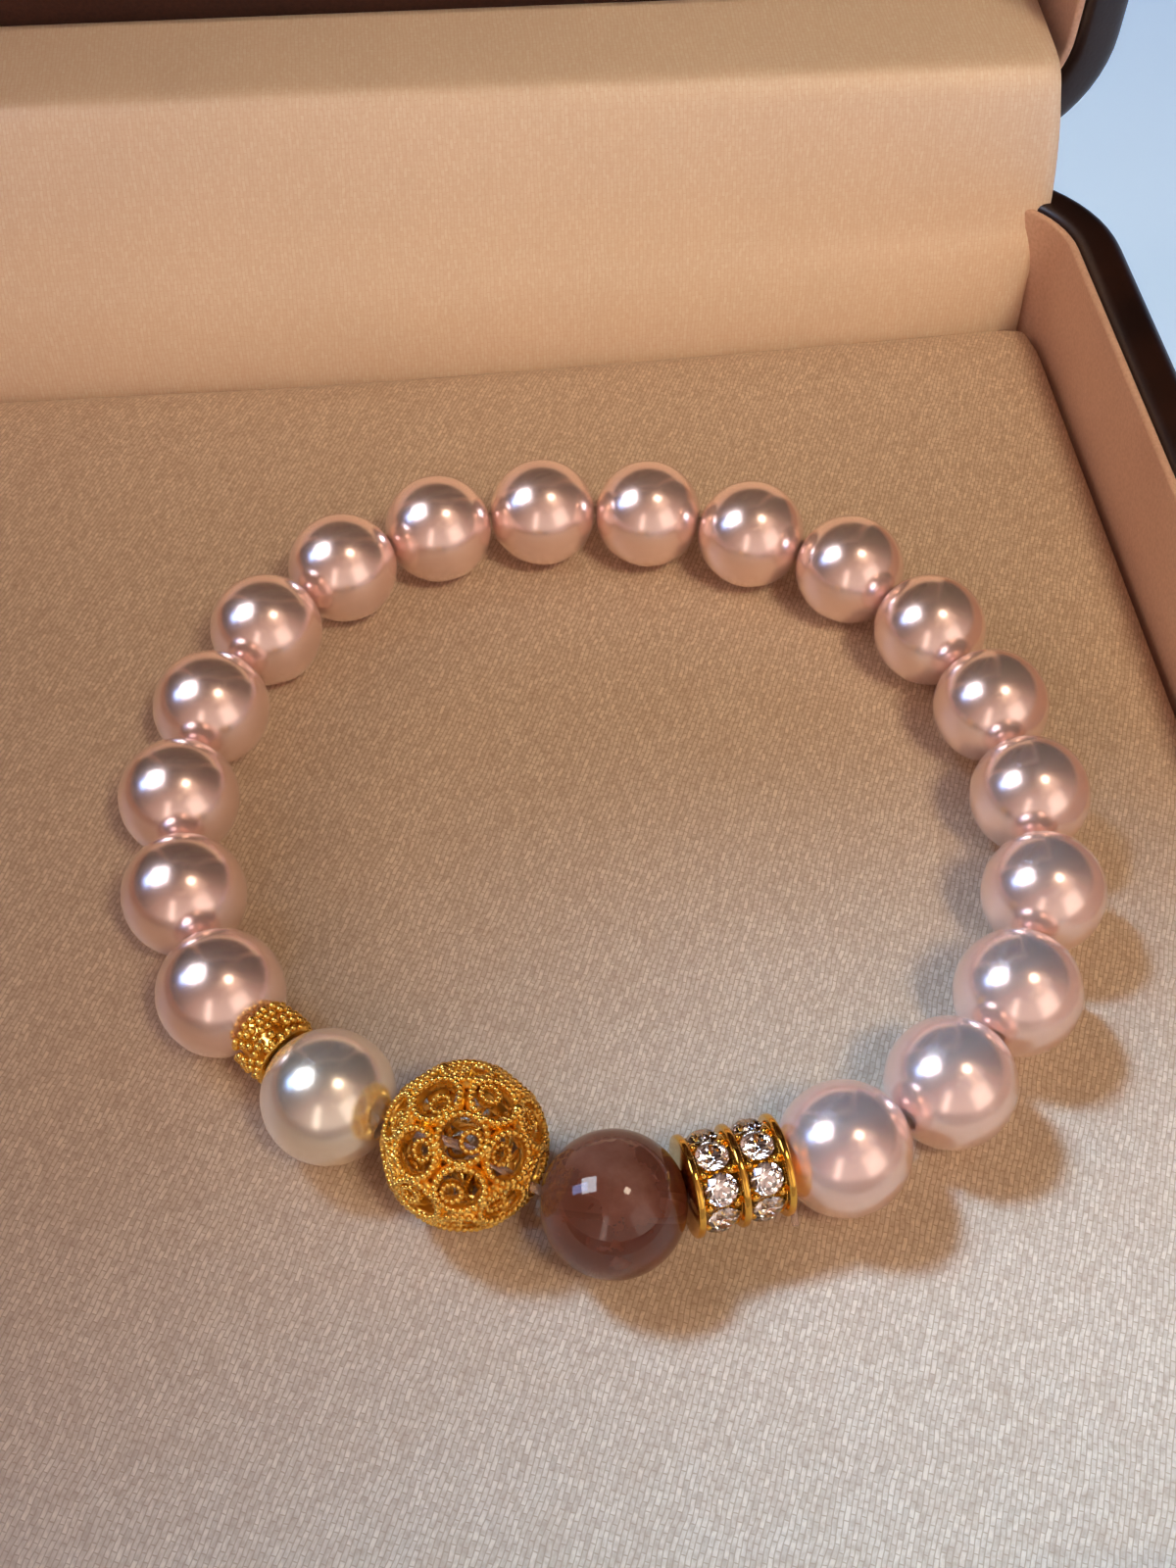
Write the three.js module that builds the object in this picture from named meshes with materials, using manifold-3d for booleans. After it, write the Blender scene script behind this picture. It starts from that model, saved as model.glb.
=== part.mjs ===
// Pearl bracelet lying in its opened gift box. Eighteen pink pearls, a white pearl, a quartz bead,
// an openwork filigree ball, a stone-set drum and a granulated spacer are strung on one elastic cord.
// Millimetres, +Z up, +X to the right, +Y towards the box's hinge, origin at the middle of the tray's base.
import * as THREE from 'three';
import { mergeVertices } from 'three/addons/utils/BufferGeometryUtils.js';
import Module from 'manifold-3d';

const wasm = await Module();
wasm.setup();

// Beads
const pinkPearlDiameter = 8;
const whitePearlDiameter = 8.1;
const quartzDiameter = 8.5;
const threadHoleDiameter = 1.5;
const beadClearance = 0.06;
const restClearance = 0.05;
const beadSides = 12;
const beadArcs = 7;

// Elastic cord and the cut end left over from its knot
const cordDiameter = 0.6;
const cordSteps = 72;
const cordSides = 8;
const tailDiameter = 0.44;
const tailSides = 8;
const tailSteps = 6;
const tailClearance = 0.1;

// Stone-set drum
const drumDiameter = 6;
const drumBore = 2;
const drumSides = 16;
const drumRimWidth = 0.45;
const drumRimChamfer = 0.14;
const stoneRows = 2;
const stonesPerRow = 8;
const stoneSpacing = 0.07;
const stoneSideGap = 0.16;
const stoneTableSink = 0.1;
const crownShare = 0.17;
const girdleShare = 0.03;
const pavilionShare = 0.43;
const tableShare = 0.57;
const grooveFloorGap = 0.12;
const grooveLipDrop = 0.42;
const prongDiameter = 0.54;
const prongShare = 0.72;
const stoneFacingElevation = 51;

// Openwork filigree ball
const filigreeDiameter = 9.86;
const filigreeWireDiameter = 0.52;
const filigreeRingAngle = 17.3;
const filigreeSpin = 51;
const faceRingSteps = 9;
const cornerRingSteps = 10;
const ringSides = 5;

// Granulated spacer
const spacerDiameter = 5;
const spacerBore = 3;
const spacerLength = 2.7;
const granuleRows = 3;
const granulesPerRow = 10;
const granuleDiameter = 0.9;
const spacerSides = 10;

// Gift box
const boxWidth = 122;
const boxDepth = 122;
const boxCornerRadius = 12;
const trayHeight = 22;
const lidHeight = 20;
const wallThickness = 3.7;
const baseThickness = 2;
const rimRound = 1.2;
const footRound = 1;
const liningThickness = 0.7;
const liningGap = 0.1;
const liningDrop = 0.4;
const padDepthBelowRim = 9.5;
const padSideGap = 0.35;
const padRound = 0.8;
const padBackCornerRadius = 2;
const padFloorGap = 0.1;
const padToBackWall = 11.5;
const cornerSteps = 5;

// Satin hinge flap
const flapThickness = 0.8;
const flapSideGap = 1.2;
const flapSetback = 1.2;
const flapLean = 28;
const flapReach = 9.6;
const lidFlapOffset = 10.4;
const flapGap = 0.3;

// Hinge
const lidOpenAngle = 85;
const rimGap = 0.5;
const hingeInset = 0.35;
const hingeLength = 44;
const hingeLeafHeight = 6;
const hingeSideGap = 0.3;
const knuckleDiameter = 3.2;
const knuckleClearance = 0.3;
const centreKnuckleLength = 18;
const pinDiameter = 1.2;
const pinClearance = 0.15;
const knuckleSides = 12;

// Where the loop lies on the pad, and how its radius varies from its mean, clockwise from the first pearl
const loopCentre = { x: 12.9, y: -2.2 };
const route = [
  { angle: -152.8, share: 0.995 },
  { angle: -185, share: 1.005 },
  { angle: -217, share: 1.016 },
  { angle: -241, share: 1.026 },
  { angle: -264.4, share: 0.991 },
  { angle: -281, share: 0.979 },
  { angle: -314, share: 0.993 },
  { angle: -340, share: 0.981 },
  { angle: -364, share: 0.989 },
  { angle: -388, share: 1.022 },
  { angle: -411.8, share: 1.028 },
  { angle: -427.6, share: 1.014 },
  { angle: -455.6, share: 1.026 },
  { angle: -473.7, share: 0.957 },
  { angle: -492.3, share: 0.98 },
];

const satin = { color: 0xd9b48f, roughness: 0.55, metalness: 0 };
const gold = { color: 0xd9a12f, roughness: 0.25, metalness: 1 };
const finishes = {
  pinkPearl: { color: 0xe6c0b6, roughness: 0.2, metalness: 0 },
  whitePearl: { color: 0xe4ddd2, roughness: 0.2, metalness: 0 },
  quartz: { color: 0x7a4a3c, roughness: 0.05, metalness: 0 },
  gold,
  zircon: { color: 0xe8eef2, roughness: 0.03, metalness: 0 },
  cord: { color: 0xe2dcd4, roughness: 0.35, metalness: 0 },
  leatherette: { color: 0x2a160d, roughness: 0.5, metalness: 0 },
  suede: { color: 0xb98a70, roughness: 0.9, metalness: 0 },
  satin,
  darkPanel: { color: 0x321409, roughness: 0.7, metalness: 0 },
  brass: { color: 0xb08d4f, roughness: 0.35, metalness: 1 },
};

const up = new THREE.Vector3(0, 0, 1);
const alongThread = new THREE.Vector3(0, 1, 0);
const padTop = trayHeight - padDepthBelowRim;
const inPart = new THREE.Group();

// Adds one named piece to a group, by its place and turn in that group.
function addPiece(group, name, geometry, finish, position, turn) {
  const material = new THREE.MeshStandardMaterial(finish);
  const piece = new THREE.Mesh(geometry, material);
  piece.name = name;
  if (position) piece.position.copy(position);
  if (turn) piece.quaternion.copy(turn);
  group.add(piece);
  return piece;
}

function merged(geometry) {
  const bare = geometry.clone();
  bare.deleteAttribute('normal');
  bare.deleteAttribute('uv');
  return mergeVertices(bare, 1e-4);
}

// A closed mesh as a solid that can be joined and cut.
function solidOf(geometry) {
  const closed = merged(geometry);
  const vertProperties = new Float32Array(closed.attributes.position.array);
  const triVerts = new Uint32Array(closed.index.array);
  return new wasm.Manifold(new wasm.Mesh({ numProp: 3, vertProperties, triVerts }));
}

function geometryOf(solid) {
  const mesh = solid.getMesh();
  const geometry = new THREE.BufferGeometry();
  geometry.setAttribute('position', new THREE.BufferAttribute(mesh.vertProperties, 3));
  geometry.setIndex(new THREE.BufferAttribute(mesh.triVerts, 1));
  return geometry;
}

function joined(geometries) {
  return geometries.map(solidOf).reduce((whole, next) => whole.add(next));
}

// Skins a row of outlines that all have the same number of points. A ring closes on its first outline,
// and any other skin has a flat cap over its first and last outlines.
function loft(outlines, isRing) {
  const count = outlines[0].length;
  const points = outlines.flat();
  const faces = [];
  const spans = isRing ? outlines.length : outlines.length - 1;
  for (let row = 0; row < spans; row += 1) {
    const low = row * count;
    const high = ((row + 1) % outlines.length) * count;
    for (let i = 0; i < count; i += 1) {
      const j = (i + 1) % count;
      faces.push(low + i, low + j, high + j, low + i, high + j, high + i);
    }
  }
  if (!isRing) {
    const last = (outlines.length - 1) * count;
    for (let i = 1; i < count - 1; i += 1) {
      faces.push(0, i + 1, i, last, last + i, last + i + 1);
    }
  }
  const geometry = new THREE.BufferGeometry().setFromPoints(points);
  geometry.setIndex(faces);
  return geometry;
}

// A level rectangle with round corners, counter-clockwise from above.
function roundedOutline({ halfWidth, front, back, frontRadius, backRadius }, z) {
  const corners = [
    { x: halfWidth, y: front, radius: frontRadius, start: -90 },
    { x: halfWidth, y: back, radius: backRadius, start: 0 },
    { x: -halfWidth, y: back, radius: backRadius, start: 90 },
    { x: -halfWidth, y: front, radius: frontRadius, start: 180 },
  ];
  return corners.flatMap(({ x, y, radius, start }) => {
    const centreX = x - Math.sign(x) * radius;
    const centreY = y === front ? y + radius : y - radius;
    return Array.from({ length: cornerSteps + 1 }, (unused, step) => {
      const angle = THREE.MathUtils.degToRad(start + (90 * step) / cornerSteps);
      return new THREE.Vector3(centreX + radius * Math.cos(angle), centreY + radius * Math.sin(angle), z);
    });
  });
}

// The box's outline drawn in by an inset, at a height.
function boxOutline(inset, z) {
  return roundedOutline({
    halfWidth: boxWidth / 2 - inset,
    front: inset - boxDepth / 2,
    back: boxDepth / 2 - inset,
    frontRadius: boxCornerRadius - inset,
    backRadius: boxCornerRadius - inset,
  }, z);
}

// A bead turned about its thread hole, which runs along Y.
function beadGeometry(diameter) {
  const radius = diameter / 2;
  const holeRadius = threadHoleDiameter / 2;
  const mouth = Math.asin(holeRadius / radius);
  const profile = Array.from({ length: beadArcs + 1 }, (unused, step) => {
    const angle = THREE.MathUtils.lerp(-Math.PI / 2 + mouth, Math.PI / 2 - mouth, step / beadArcs);
    return new THREE.Vector2(radius * Math.cos(angle), radius * Math.sin(angle));
  });
  profile.push(profile[0].clone());
  return new THREE.LatheGeometry(profile, beadSides);
}

// Drum: three rims with two V-shaped grooves between them, in which the stones stand on their points.
const drumRadius = drumDiameter / 2;
const girdleShareOfRing = Math.sin(Math.PI / stonesPerRow);
const stoneDiameter = (2 * drumRadius * girdleShareOfRing - stoneSpacing)
  / (1 + 2 * (crownShare + girdleShare) * girdleShareOfRing);
const grooveWidth = stoneDiameter + 2 * stoneSideGap;
const drumLength = stoneRows * grooveWidth + (stoneRows + 1) * drumRimWidth;
const rowPitch = grooveWidth + drumRimWidth;
const girdleRadius = drumRadius - stoneTableSink - crownShare * stoneDiameter;
const grooveFloor = girdleRadius - (pavilionShare + girdleShare) * stoneDiameter - grooveFloorGap;

function rowHeight(row) {
  return (row - (stoneRows - 1) / 2) * rowPitch;
}

function drumGeometry() {
  const boreRadius = drumBore / 2;
  const profile = [new THREE.Vector2(boreRadius, -drumLength / 2)];
  for (let rim = 0; rim <= stoneRows; rim += 1) {
    const low = -drumLength / 2 + rim * rowPitch;
    const high = low + drumRimWidth;
    const lip = drumRadius - grooveLipDrop;
    if (rim > 0) profile.push(new THREE.Vector2(lip, low));
    profile.push(new THREE.Vector2(drumRadius - drumRimChamfer, low));
    profile.push(new THREE.Vector2(drumRadius, low + drumRimChamfer));
    profile.push(new THREE.Vector2(drumRadius, high - drumRimChamfer));
    profile.push(new THREE.Vector2(drumRadius - drumRimChamfer, high));
    if (rim < stoneRows) {
      profile.push(new THREE.Vector2(lip, high));
      profile.push(new THREE.Vector2(grooveFloor, rowHeight(rim)));
    }
  }
  profile.push(new THREE.Vector2(boreRadius, drumLength / 2));
  profile.push(profile[0].clone());
  const body = new THREE.LatheGeometry(profile, drumSides);
  return geometryOf(joined([body, ...prongs()]));
}

// Pairs of round prongs between neighbouring stones, rooted in the groove's flanks.
function prongs() {
  const beads = [];
  const prongRadius = prongDiameter / 2;
  const flankRadius = THREE.MathUtils.lerp(grooveFloor, drumRadius - grooveLipDrop, prongShare);
  const seatRadius = flankRadius + prongRadius / 3;
  for (let row = 0; row < stoneRows; row += 1) {
    for (let i = 0; i < stonesPerRow; i += 1) {
      const angle = stoneAngle(i + 0.5);
      [-1, 1].forEach((side) => {
        const bead = new THREE.OctahedronGeometry(prongRadius, 0).rotateY(-angle);
        const height = rowHeight(row) + (side * prongShare * grooveWidth) / 2;
        bead.translate(seatRadius * Math.cos(angle), height, seatRadius * Math.sin(angle));
        beads.push(bead);
      });
    }
  }
  return beads;
}

// A stone's angle about the thread. The first stone of each row looks up and out of the loop.
function stoneAngle(place) {
  return Math.PI - THREE.MathUtils.degToRad(stoneFacingElevation) + (2 * Math.PI * place) / stonesPerRow;
}

// Round brilliant with its table facing +Y: an octagonal table, eight crown and eight pavilion facets.
function stoneGeometry() {
  const radius = stoneDiameter / 2;
  const profile = [
    new THREE.Vector2(0, -(pavilionShare + girdleShare) * stoneDiameter),
    new THREE.Vector2(radius, -girdleShare * stoneDiameter),
    new THREE.Vector2(radius, 0),
    new THREE.Vector2(radius * tableShare, crownShare * stoneDiameter),
    new THREE.Vector2(0, crownShare * stoneDiameter),
  ];
  const stone = new THREE.LatheGeometry(profile, stonesPerRow);
  return stone.rotateY(Math.PI / stonesPerRow);
}

const filigreeRingSpread = Math.sin(THREE.MathUtils.degToRad(filigreeRingAngle));
const filigreeBore = (filigreeDiameter - filigreeWireDiameter) * filigreeRingSpread - filigreeWireDiameter;

// Filigree: wire rings at the twelve corners and twenty face centres of an icosahedron laid on a ball.
// Each ring touches and is soldered to its neighbours, and the two at the poles let the thread through.
function icosahedronDirections() {
  const shape = merged(new THREE.IcosahedronGeometry(1, 0));
  const corners = [];
  for (let i = 0; i < shape.attributes.position.count; i += 1) {
    corners.push(new THREE.Vector3().fromBufferAttribute(shape.attributes.position, i).normalize());
  }
  const faces = [];
  const index = shape.index.array;
  for (let i = 0; i < index.length; i += 3) {
    const centre = new THREE.Vector3();
    [0, 1, 2].forEach((k) => centre.add(corners[index[i + k]]));
    faces.push(centre.normalize());
  }
  return { corners, faces };
}

function nearestTo(direction, others) {
  const apart = others.filter((other) => other !== direction);
  return apart.sort((a, b) => b.dot(direction) - a.dot(direction))[0];
}

// The unit vector square to an axis that leans towards another direction.
function acrossAxis(axis, towards) {
  return towards.clone().addScaledVector(axis, -towards.dot(axis)).normalize();
}

// One wire ring on the ball, square to a direction, with a corner of its polygon towards a neighbour.
function ballRing(direction, towards, steps) {
  const wireRadius = filigreeWireDiameter / 2;
  const reach = filigreeDiameter / 2 - wireRadius;
  const spread = THREE.MathUtils.degToRad(filigreeRingAngle);
  const ring = new THREE.TorusGeometry(reach * Math.sin(spread), wireRadius, ringSides, steps);
  const across = acrossAxis(direction, towards);
  const turn = new THREE.Matrix4().makeBasis(across, direction.clone().cross(across), direction);
  const offset = direction.clone().multiplyScalar(reach * Math.cos(spread));
  return ring.applyMatrix4(turn).translate(offset.x, offset.y, offset.z);
}

function filigreeGeometry() {
  const { corners, faces } = icosahedronDirections();
  const pole = faces[0].clone();
  const across = acrossAxis(pole, nearestTo(faces[0], faces));
  const toThread = new THREE.Matrix4().makeBasis(across, pole, across.clone().cross(pole)).invert();
  const spin = new THREE.Matrix4().makeRotationY(-THREE.MathUtils.degToRad(filigreeSpin));
  [...corners, ...faces].forEach((direction) => direction.applyMatrix4(toThread).applyMatrix4(spin));
  const rings = [
    ...corners.map((direction) => ballRing(direction, nearestTo(direction, faces), cornerRingSteps)),
    ...faces.map((direction) => ballRing(direction, nearestTo(direction, corners), faceRingSteps)),
  ];
  return geometryOf(joined(rings));
}

// Spacer: an open ring covered with rows of fused granules.
function spacerGeometry() {
  const granuleRadius = granuleDiameter / 2;
  const outer = spacerDiameter / 2 - granuleRadius;
  const halfLength = spacerLength / 2;
  const profile = [
    new THREE.Vector2(spacerBore / 2, -halfLength),
    new THREE.Vector2(outer, -halfLength),
    new THREE.Vector2(outer, halfLength),
    new THREE.Vector2(spacerBore / 2, halfLength),
    new THREE.Vector2(spacerBore / 2, -halfLength),
  ];
  const solids = [new THREE.LatheGeometry(profile, spacerSides)];
  for (let row = 0; row < granuleRows; row += 1) {
    const height = (row - (granuleRows - 1) / 2) * ((spacerLength - granuleDiameter) / (granuleRows - 1));
    for (let i = 0; i < granulesPerRow; i += 1) {
      const angle = (2 * Math.PI * (i + (row % 2) / 2)) / granulesPerRow;
      const granule = new THREE.IcosahedronGeometry(granuleRadius, 0);
      granule.translate(outer * Math.cos(angle), height, outer * Math.sin(angle));
      solids.push(granule);
    }
  }
  return geometryOf(joined(solids));
}

// The beads in the order in which they are strung. A link is a bored piece held between two beads.
const drumLink = { name: 'stone_drum', halfLength: drumLength / 2, bore: drumBore };
const spacerLink = { name: 'granule_spacer', halfLength: spacerLength / 2, bore: spacerBore };

function strungBeads() {
  const beads = [];
  const pearl = beadGeometry(pinkPearlDiameter);
  for (let i = 1; i <= 18; i += 1) {
    const name = `pink_pearl_${String(i).padStart(2, '0')}`;
    beads.push({ name, diameter: pinkPearlDiameter, geometry: pearl, finish: finishes.pinkPearl });
  }
  beads.at(-1).link = drumLink;
  beads.push({
    name: 'quartz_bead',
    diameter: quartzDiameter,
    geometry: beadGeometry(quartzDiameter),
    finish: finishes.quartz,
  });
  beads.push({
    name: 'filigree_ball',
    diameter: filigreeDiameter,
    bore: filigreeBore,
    geometry: filigreeGeometry(),
    finish: finishes.gold,
  });
  beads.push({
    name: 'white_pearl',
    diameter: whitePearlDiameter,
    geometry: beadGeometry(whitePearlDiameter),
    finish: finishes.whitePearl,
    link: spacerLink,
  });
  return beads;
}

// How far a bead's centre stands from the end of a bored piece that it seats in.
function seatReach(bead, bore) {
  return Math.sqrt((bead.diameter / 2) ** 2 - (bore / 2) ** 2) + beadClearance;
}

function centreSpacing(bead, next) {
  const { link } = bead;
  if (!link) return (bead.diameter + next.diameter) / 2 + beadClearance;
  return seatReach(bead, link.bore) + 2 * link.halfLength + seatReach(next, link.bore);
}

function beadHeight(bead) {
  return padTop + restClearance + bead.diameter / 2;
}

function routeCurve(meanRadius) {
  const points = route.map(({ angle, share }) => {
    const turn = THREE.MathUtils.degToRad(angle);
    const radius = meanRadius * share;
    const x = loopCentre.x + radius * Math.cos(turn);
    const y = loopCentre.y + radius * Math.sin(turn);
    return new THREE.Vector3(x, y, 0);
  });
  return new THREE.CatmullRomCurve3(points, true, 'centripetal');
}

// The place further along a closed curve that is a given straight distance from where one stands.
function stepAlong(curve, start, distance) {
  const from = curve.getPoint(start % 1);
  let near = start;
  let far = start + 0.25;
  for (let i = 0; i < 40; i += 1) {
    const middle = (near + far) / 2;
    if (curve.getPoint(middle % 1).distanceTo(from) < distance) near = middle;
    else far = middle;
  }
  return near;
}

// Lays the beads along the route one after another and tells how much of it they take up.
function layBeads(beads, meanRadius) {
  const curve = routeCurve(meanRadius);
  let along = 0;
  beads.forEach((bead, i) => {
    const next = beads[(i + 1) % beads.length];
    bead.centre = curve.getPoint(along % 1).setZ(beadHeight(bead));
    const rise = beadHeight(next) - beadHeight(bead);
    along = stepAlong(curve, along, Math.sqrt(centreSpacing(bead, next) ** 2 - rise ** 2));
  });
  return along;
}

// Finds the loop's mean radius at which the last bead meets the first.
function closeLoop(beads) {
  const girth = beads.reduce((sum, bead, i) => sum + centreSpacing(bead, beads[(i + 1) % beads.length]), 0);
  let small = (0.8 * girth) / (2 * Math.PI);
  let large = (1.2 * girth) / (2 * Math.PI);
  for (let i = 0; i < 40; i += 1) {
    const middle = (small + large) / 2;
    if (layBeads(beads, middle) > 1) small = middle;
    else large = middle;
  }
}

// The strung pieces in order, the two links among them.
function strungPieces(beads) {
  return beads.flatMap((bead, i) => {
    if (!bead.link) return [bead];
    const next = beads[(i + 1) % beads.length];
    const direction = next.centre.clone().sub(bead.centre).normalize();
    const offset = seatReach(bead, bead.link.bore) + bead.link.halfLength;
    const centre = bead.centre.clone().addScaledVector(direction, offset);
    return [bead, { ...bead.link, centre }];
  });
}

// Y along the thread, Z as near up as can be, X towards the inside of the loop.
function threadTurn(direction) {
  const inward = direction.clone().cross(up).normalize();
  const above = inward.clone().cross(direction);
  const axes = new THREE.Matrix4().makeBasis(inward, direction, above);
  return new THREE.Quaternion().setFromRotationMatrix(axes);
}

// The cord runs straight through each hole, and between two neighbours it keeps to the tighter one's mouth.
function cordCurve(pieces) {
  const points = pieces.flatMap((piece, i) => {
    const next = pieces[(i + 1) % pieces.length];
    const exit = piece.centre.clone().addScaledVector(piece.direction, halfLengthOf(piece));
    const entry = next.centre.clone().addScaledVector(next.direction, -halfLengthOf(next));
    const slack = boreOf(piece) - cordDiameter;
    const nextSlack = boreOf(next) - cordDiameter;
    return [piece.centre, exit.lerp(entry, slack ** 2 / (slack ** 2 + nextSlack ** 2))];
  });
  return new THREE.CatmullRomCurve3(points, true, 'centripetal');
}

function boreOf(piece) {
  return piece.bore ?? threadHoleDiameter;
}

function halfLengthOf(piece) {
  return piece.halfLength ?? piece.diameter / 2;
}

function buildBracelet() {
  const beads = strungBeads();
  closeLoop(beads);
  const pieces = strungPieces(beads);
  const geometries = {
    stone_drum: drumGeometry(),
    granule_spacer: spacerGeometry(),
  };
  pieces.forEach((piece, i) => {
    const before = pieces[(i + pieces.length - 1) % pieces.length].centre;
    const after = pieces[(i + 1) % pieces.length].centre;
    const coming = piece.centre.clone().sub(before).normalize();
    const going = after.clone().sub(piece.centre).normalize();
    piece.direction = coming.add(going).normalize();
    const turn = threadTurn(piece.direction);
    const geometry = piece.geometry ?? geometries[piece.name];
    addPiece(inPart, piece.name, geometry, piece.finish ?? finishes.gold, piece.centre, turn);
    if (piece.name === drumLink.name) {
      addStones(piece.centre, turn);
      addTail(piece.centre, turn);
    }
  });
  const cord = new THREE.TubeGeometry(cordCurve(pieces), cordSteps, cordDiameter / 2, cordSides, true);
  addPiece(inPart, 'elastic_cord', merged(cord), finishes.cord);
}

function addStones(centre, turn) {
  const drum = new THREE.Group();
  drum.position.copy(centre);
  drum.quaternion.copy(turn);
  inPart.add(drum);
  for (let row = 0; row < stoneRows; row += 1) {
    for (let i = 0; i < stonesPerRow; i += 1) {
      const angle = stoneAngle(i);
      const outward = new THREE.Vector3(Math.cos(angle), 0, Math.sin(angle));
      const place = outward.clone().multiplyScalar(girdleRadius).setY(rowHeight(row));
      const facing = new THREE.Quaternion().setFromUnitVectors(alongThread, outward);
      const number = String(row * stonesPerRow + i + 1).padStart(2, '0');
      addPiece(drum, `zircon_${number}`, stoneGeometry(), finishes.zircon, place, facing);
    }
  }
}

// The cut end of the cord, which pokes out between the drum and the last pink pearl and points down.
function addTail(centre, turn) {
  const pearlRadius = pinkPearlDiameter / 2;
  const pearlCentre = -(seatReach({ diameter: pinkPearlDiameter }, drumBore) + drumLength / 2);
  const wedge = tailDiameter + 2 * tailClearance;
  const pearlFace = -drumLength / 2 - wedge;
  const innermost = Math.sqrt(pearlRadius ** 2 - (pearlFace - pearlCentre) ** 2);
  const out = new THREE.Vector3(-Math.cos(Math.PI / 4), 0, -Math.sin(Math.PI / 4));
  const alongGap = -drumLength / 2 - wedge / 2;
  const inner = out.clone().multiplyScalar(innermost + tailDiameter / 2).setY(alongGap);
  const outer = out.clone().multiplyScalar(innermost + 1.6).setY(alongGap);
  const curve = new THREE.LineCurve3(inner, outer);
  const section = new THREE.Shape().absarc(0, 0, tailDiameter / 2, 0, 2 * Math.PI, false);
  const tail = new THREE.ExtrudeGeometry(section, {
    steps: tailSteps, curveSegments: tailSides, extrudePath: curve,
  });
  addPiece(inPart, 'cord_tail', merged(tail), finishes.cord, centre, turn);
}

// A sheet of even thickness whose section in the YZ plane starts from its visible face, extruded along X.
function sheetGeometry(face, thickness, width) {
  const back = face.map((point, i) => {
    const before = face[Math.max(i - 1, 0)];
    const after = face[Math.min(i + 1, face.length - 1)];
    const along = after.clone().sub(before).normalize();
    return new THREE.Vector2(point.x + along.y * thickness, point.y - along.x * thickness);
  });
  const shape = new THREE.Shape([...face, ...back.reverse()]);
  const sheet = new THREE.ExtrudeGeometry(shape, { depth: width, bevelEnabled: false });
  sheet.translate(0, 0, -width / 2);
  sheet.applyMatrix4(new THREE.Matrix4().makeBasis(alongThread, up, new THREE.Vector3(1, 0, 0)));
  return sheet;
}

const hingeY = boxDepth / 2 - hingeInset;
const hingeZ = trayHeight + rimGap / 2;
const lidRim = trayHeight + rimGap;
const lidTop = lidRim + lidHeight;
const liningInset = wallThickness + liningGap + liningThickness;
const padBack = boxDepth / 2 - padToBackWall;

// A cylinder or box on the hinge's axis, made in the closed box.
function onHinge(geometry, y, z) {
  return solidOf(geometry.translate(0, y, z));
}

function hingeCylinder(diameter, length, x) {
  const cylinder = new THREE.CylinderGeometry(diameter / 2, diameter / 2, length, knuckleSides);
  cylinder.rotateZ(Math.PI / 2);
  cylinder.translate(x, 0, 0);
  return onHinge(cylinder, hingeY, hingeZ);
}

// Room cut in a back wall for its hinge leaf. The side is -1 below the hinge and 1 above it.
function leafRoom(side) {
  const height = hingeLeafHeight + hingeSideGap + rimGap / 2;
  const room = new THREE.BoxGeometry(hingeLength + 2 * hingeSideGap, 2 * wallThickness, 2 * height);
  return onHinge(room, boxDepth / 2, hingeZ);
}

// A hinge leaf: a block let into the back wall, flush with it, and the knuckles that it carries.
function leafGeometry(side) {
  const thickness = wallThickness - hingeSideGap;
  const block = new THREE.BoxGeometry(hingeLength, thickness, hingeLeafHeight);
  const blockZ = hingeZ + side * (rimGap / 2 + hingeLeafHeight / 2);
  const leaf = onHinge(block, boxDepth / 2 - thickness / 2, blockZ);
  const sideLength = (hingeLength - centreKnuckleLength) / 2;
  const sideX = (centreKnuckleLength + sideLength) / 2;
  const swing = knuckleDiameter + 2 * knuckleClearance;
  const bore = hingeCylinder(pinDiameter + 2 * pinClearance, 2 * hingeLength, 0);
  const centreKnuckle = hingeCylinder(knuckleDiameter, centreKnuckleLength, 0);
  if (side < 0) {
    return geometryOf(leaf
      .subtract(hingeCylinder(swing, sideLength + knuckleClearance, sideX))
      .subtract(hingeCylinder(swing, sideLength + knuckleClearance, -sideX))
      .add(centreKnuckle)
      .subtract(bore));
  }
  const sideKnuckle = sideLength - knuckleClearance;
  const shift = sideX + knuckleClearance / 2;
  return geometryOf(leaf
    .subtract(hingeCylinder(swing, centreKnuckleLength + knuckleClearance, 0))
    .add(hingeCylinder(knuckleDiameter, sideKnuckle, shift))
    .add(hingeCylinder(knuckleDiameter, sideKnuckle, -shift))
    .subtract(bore));
}

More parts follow.
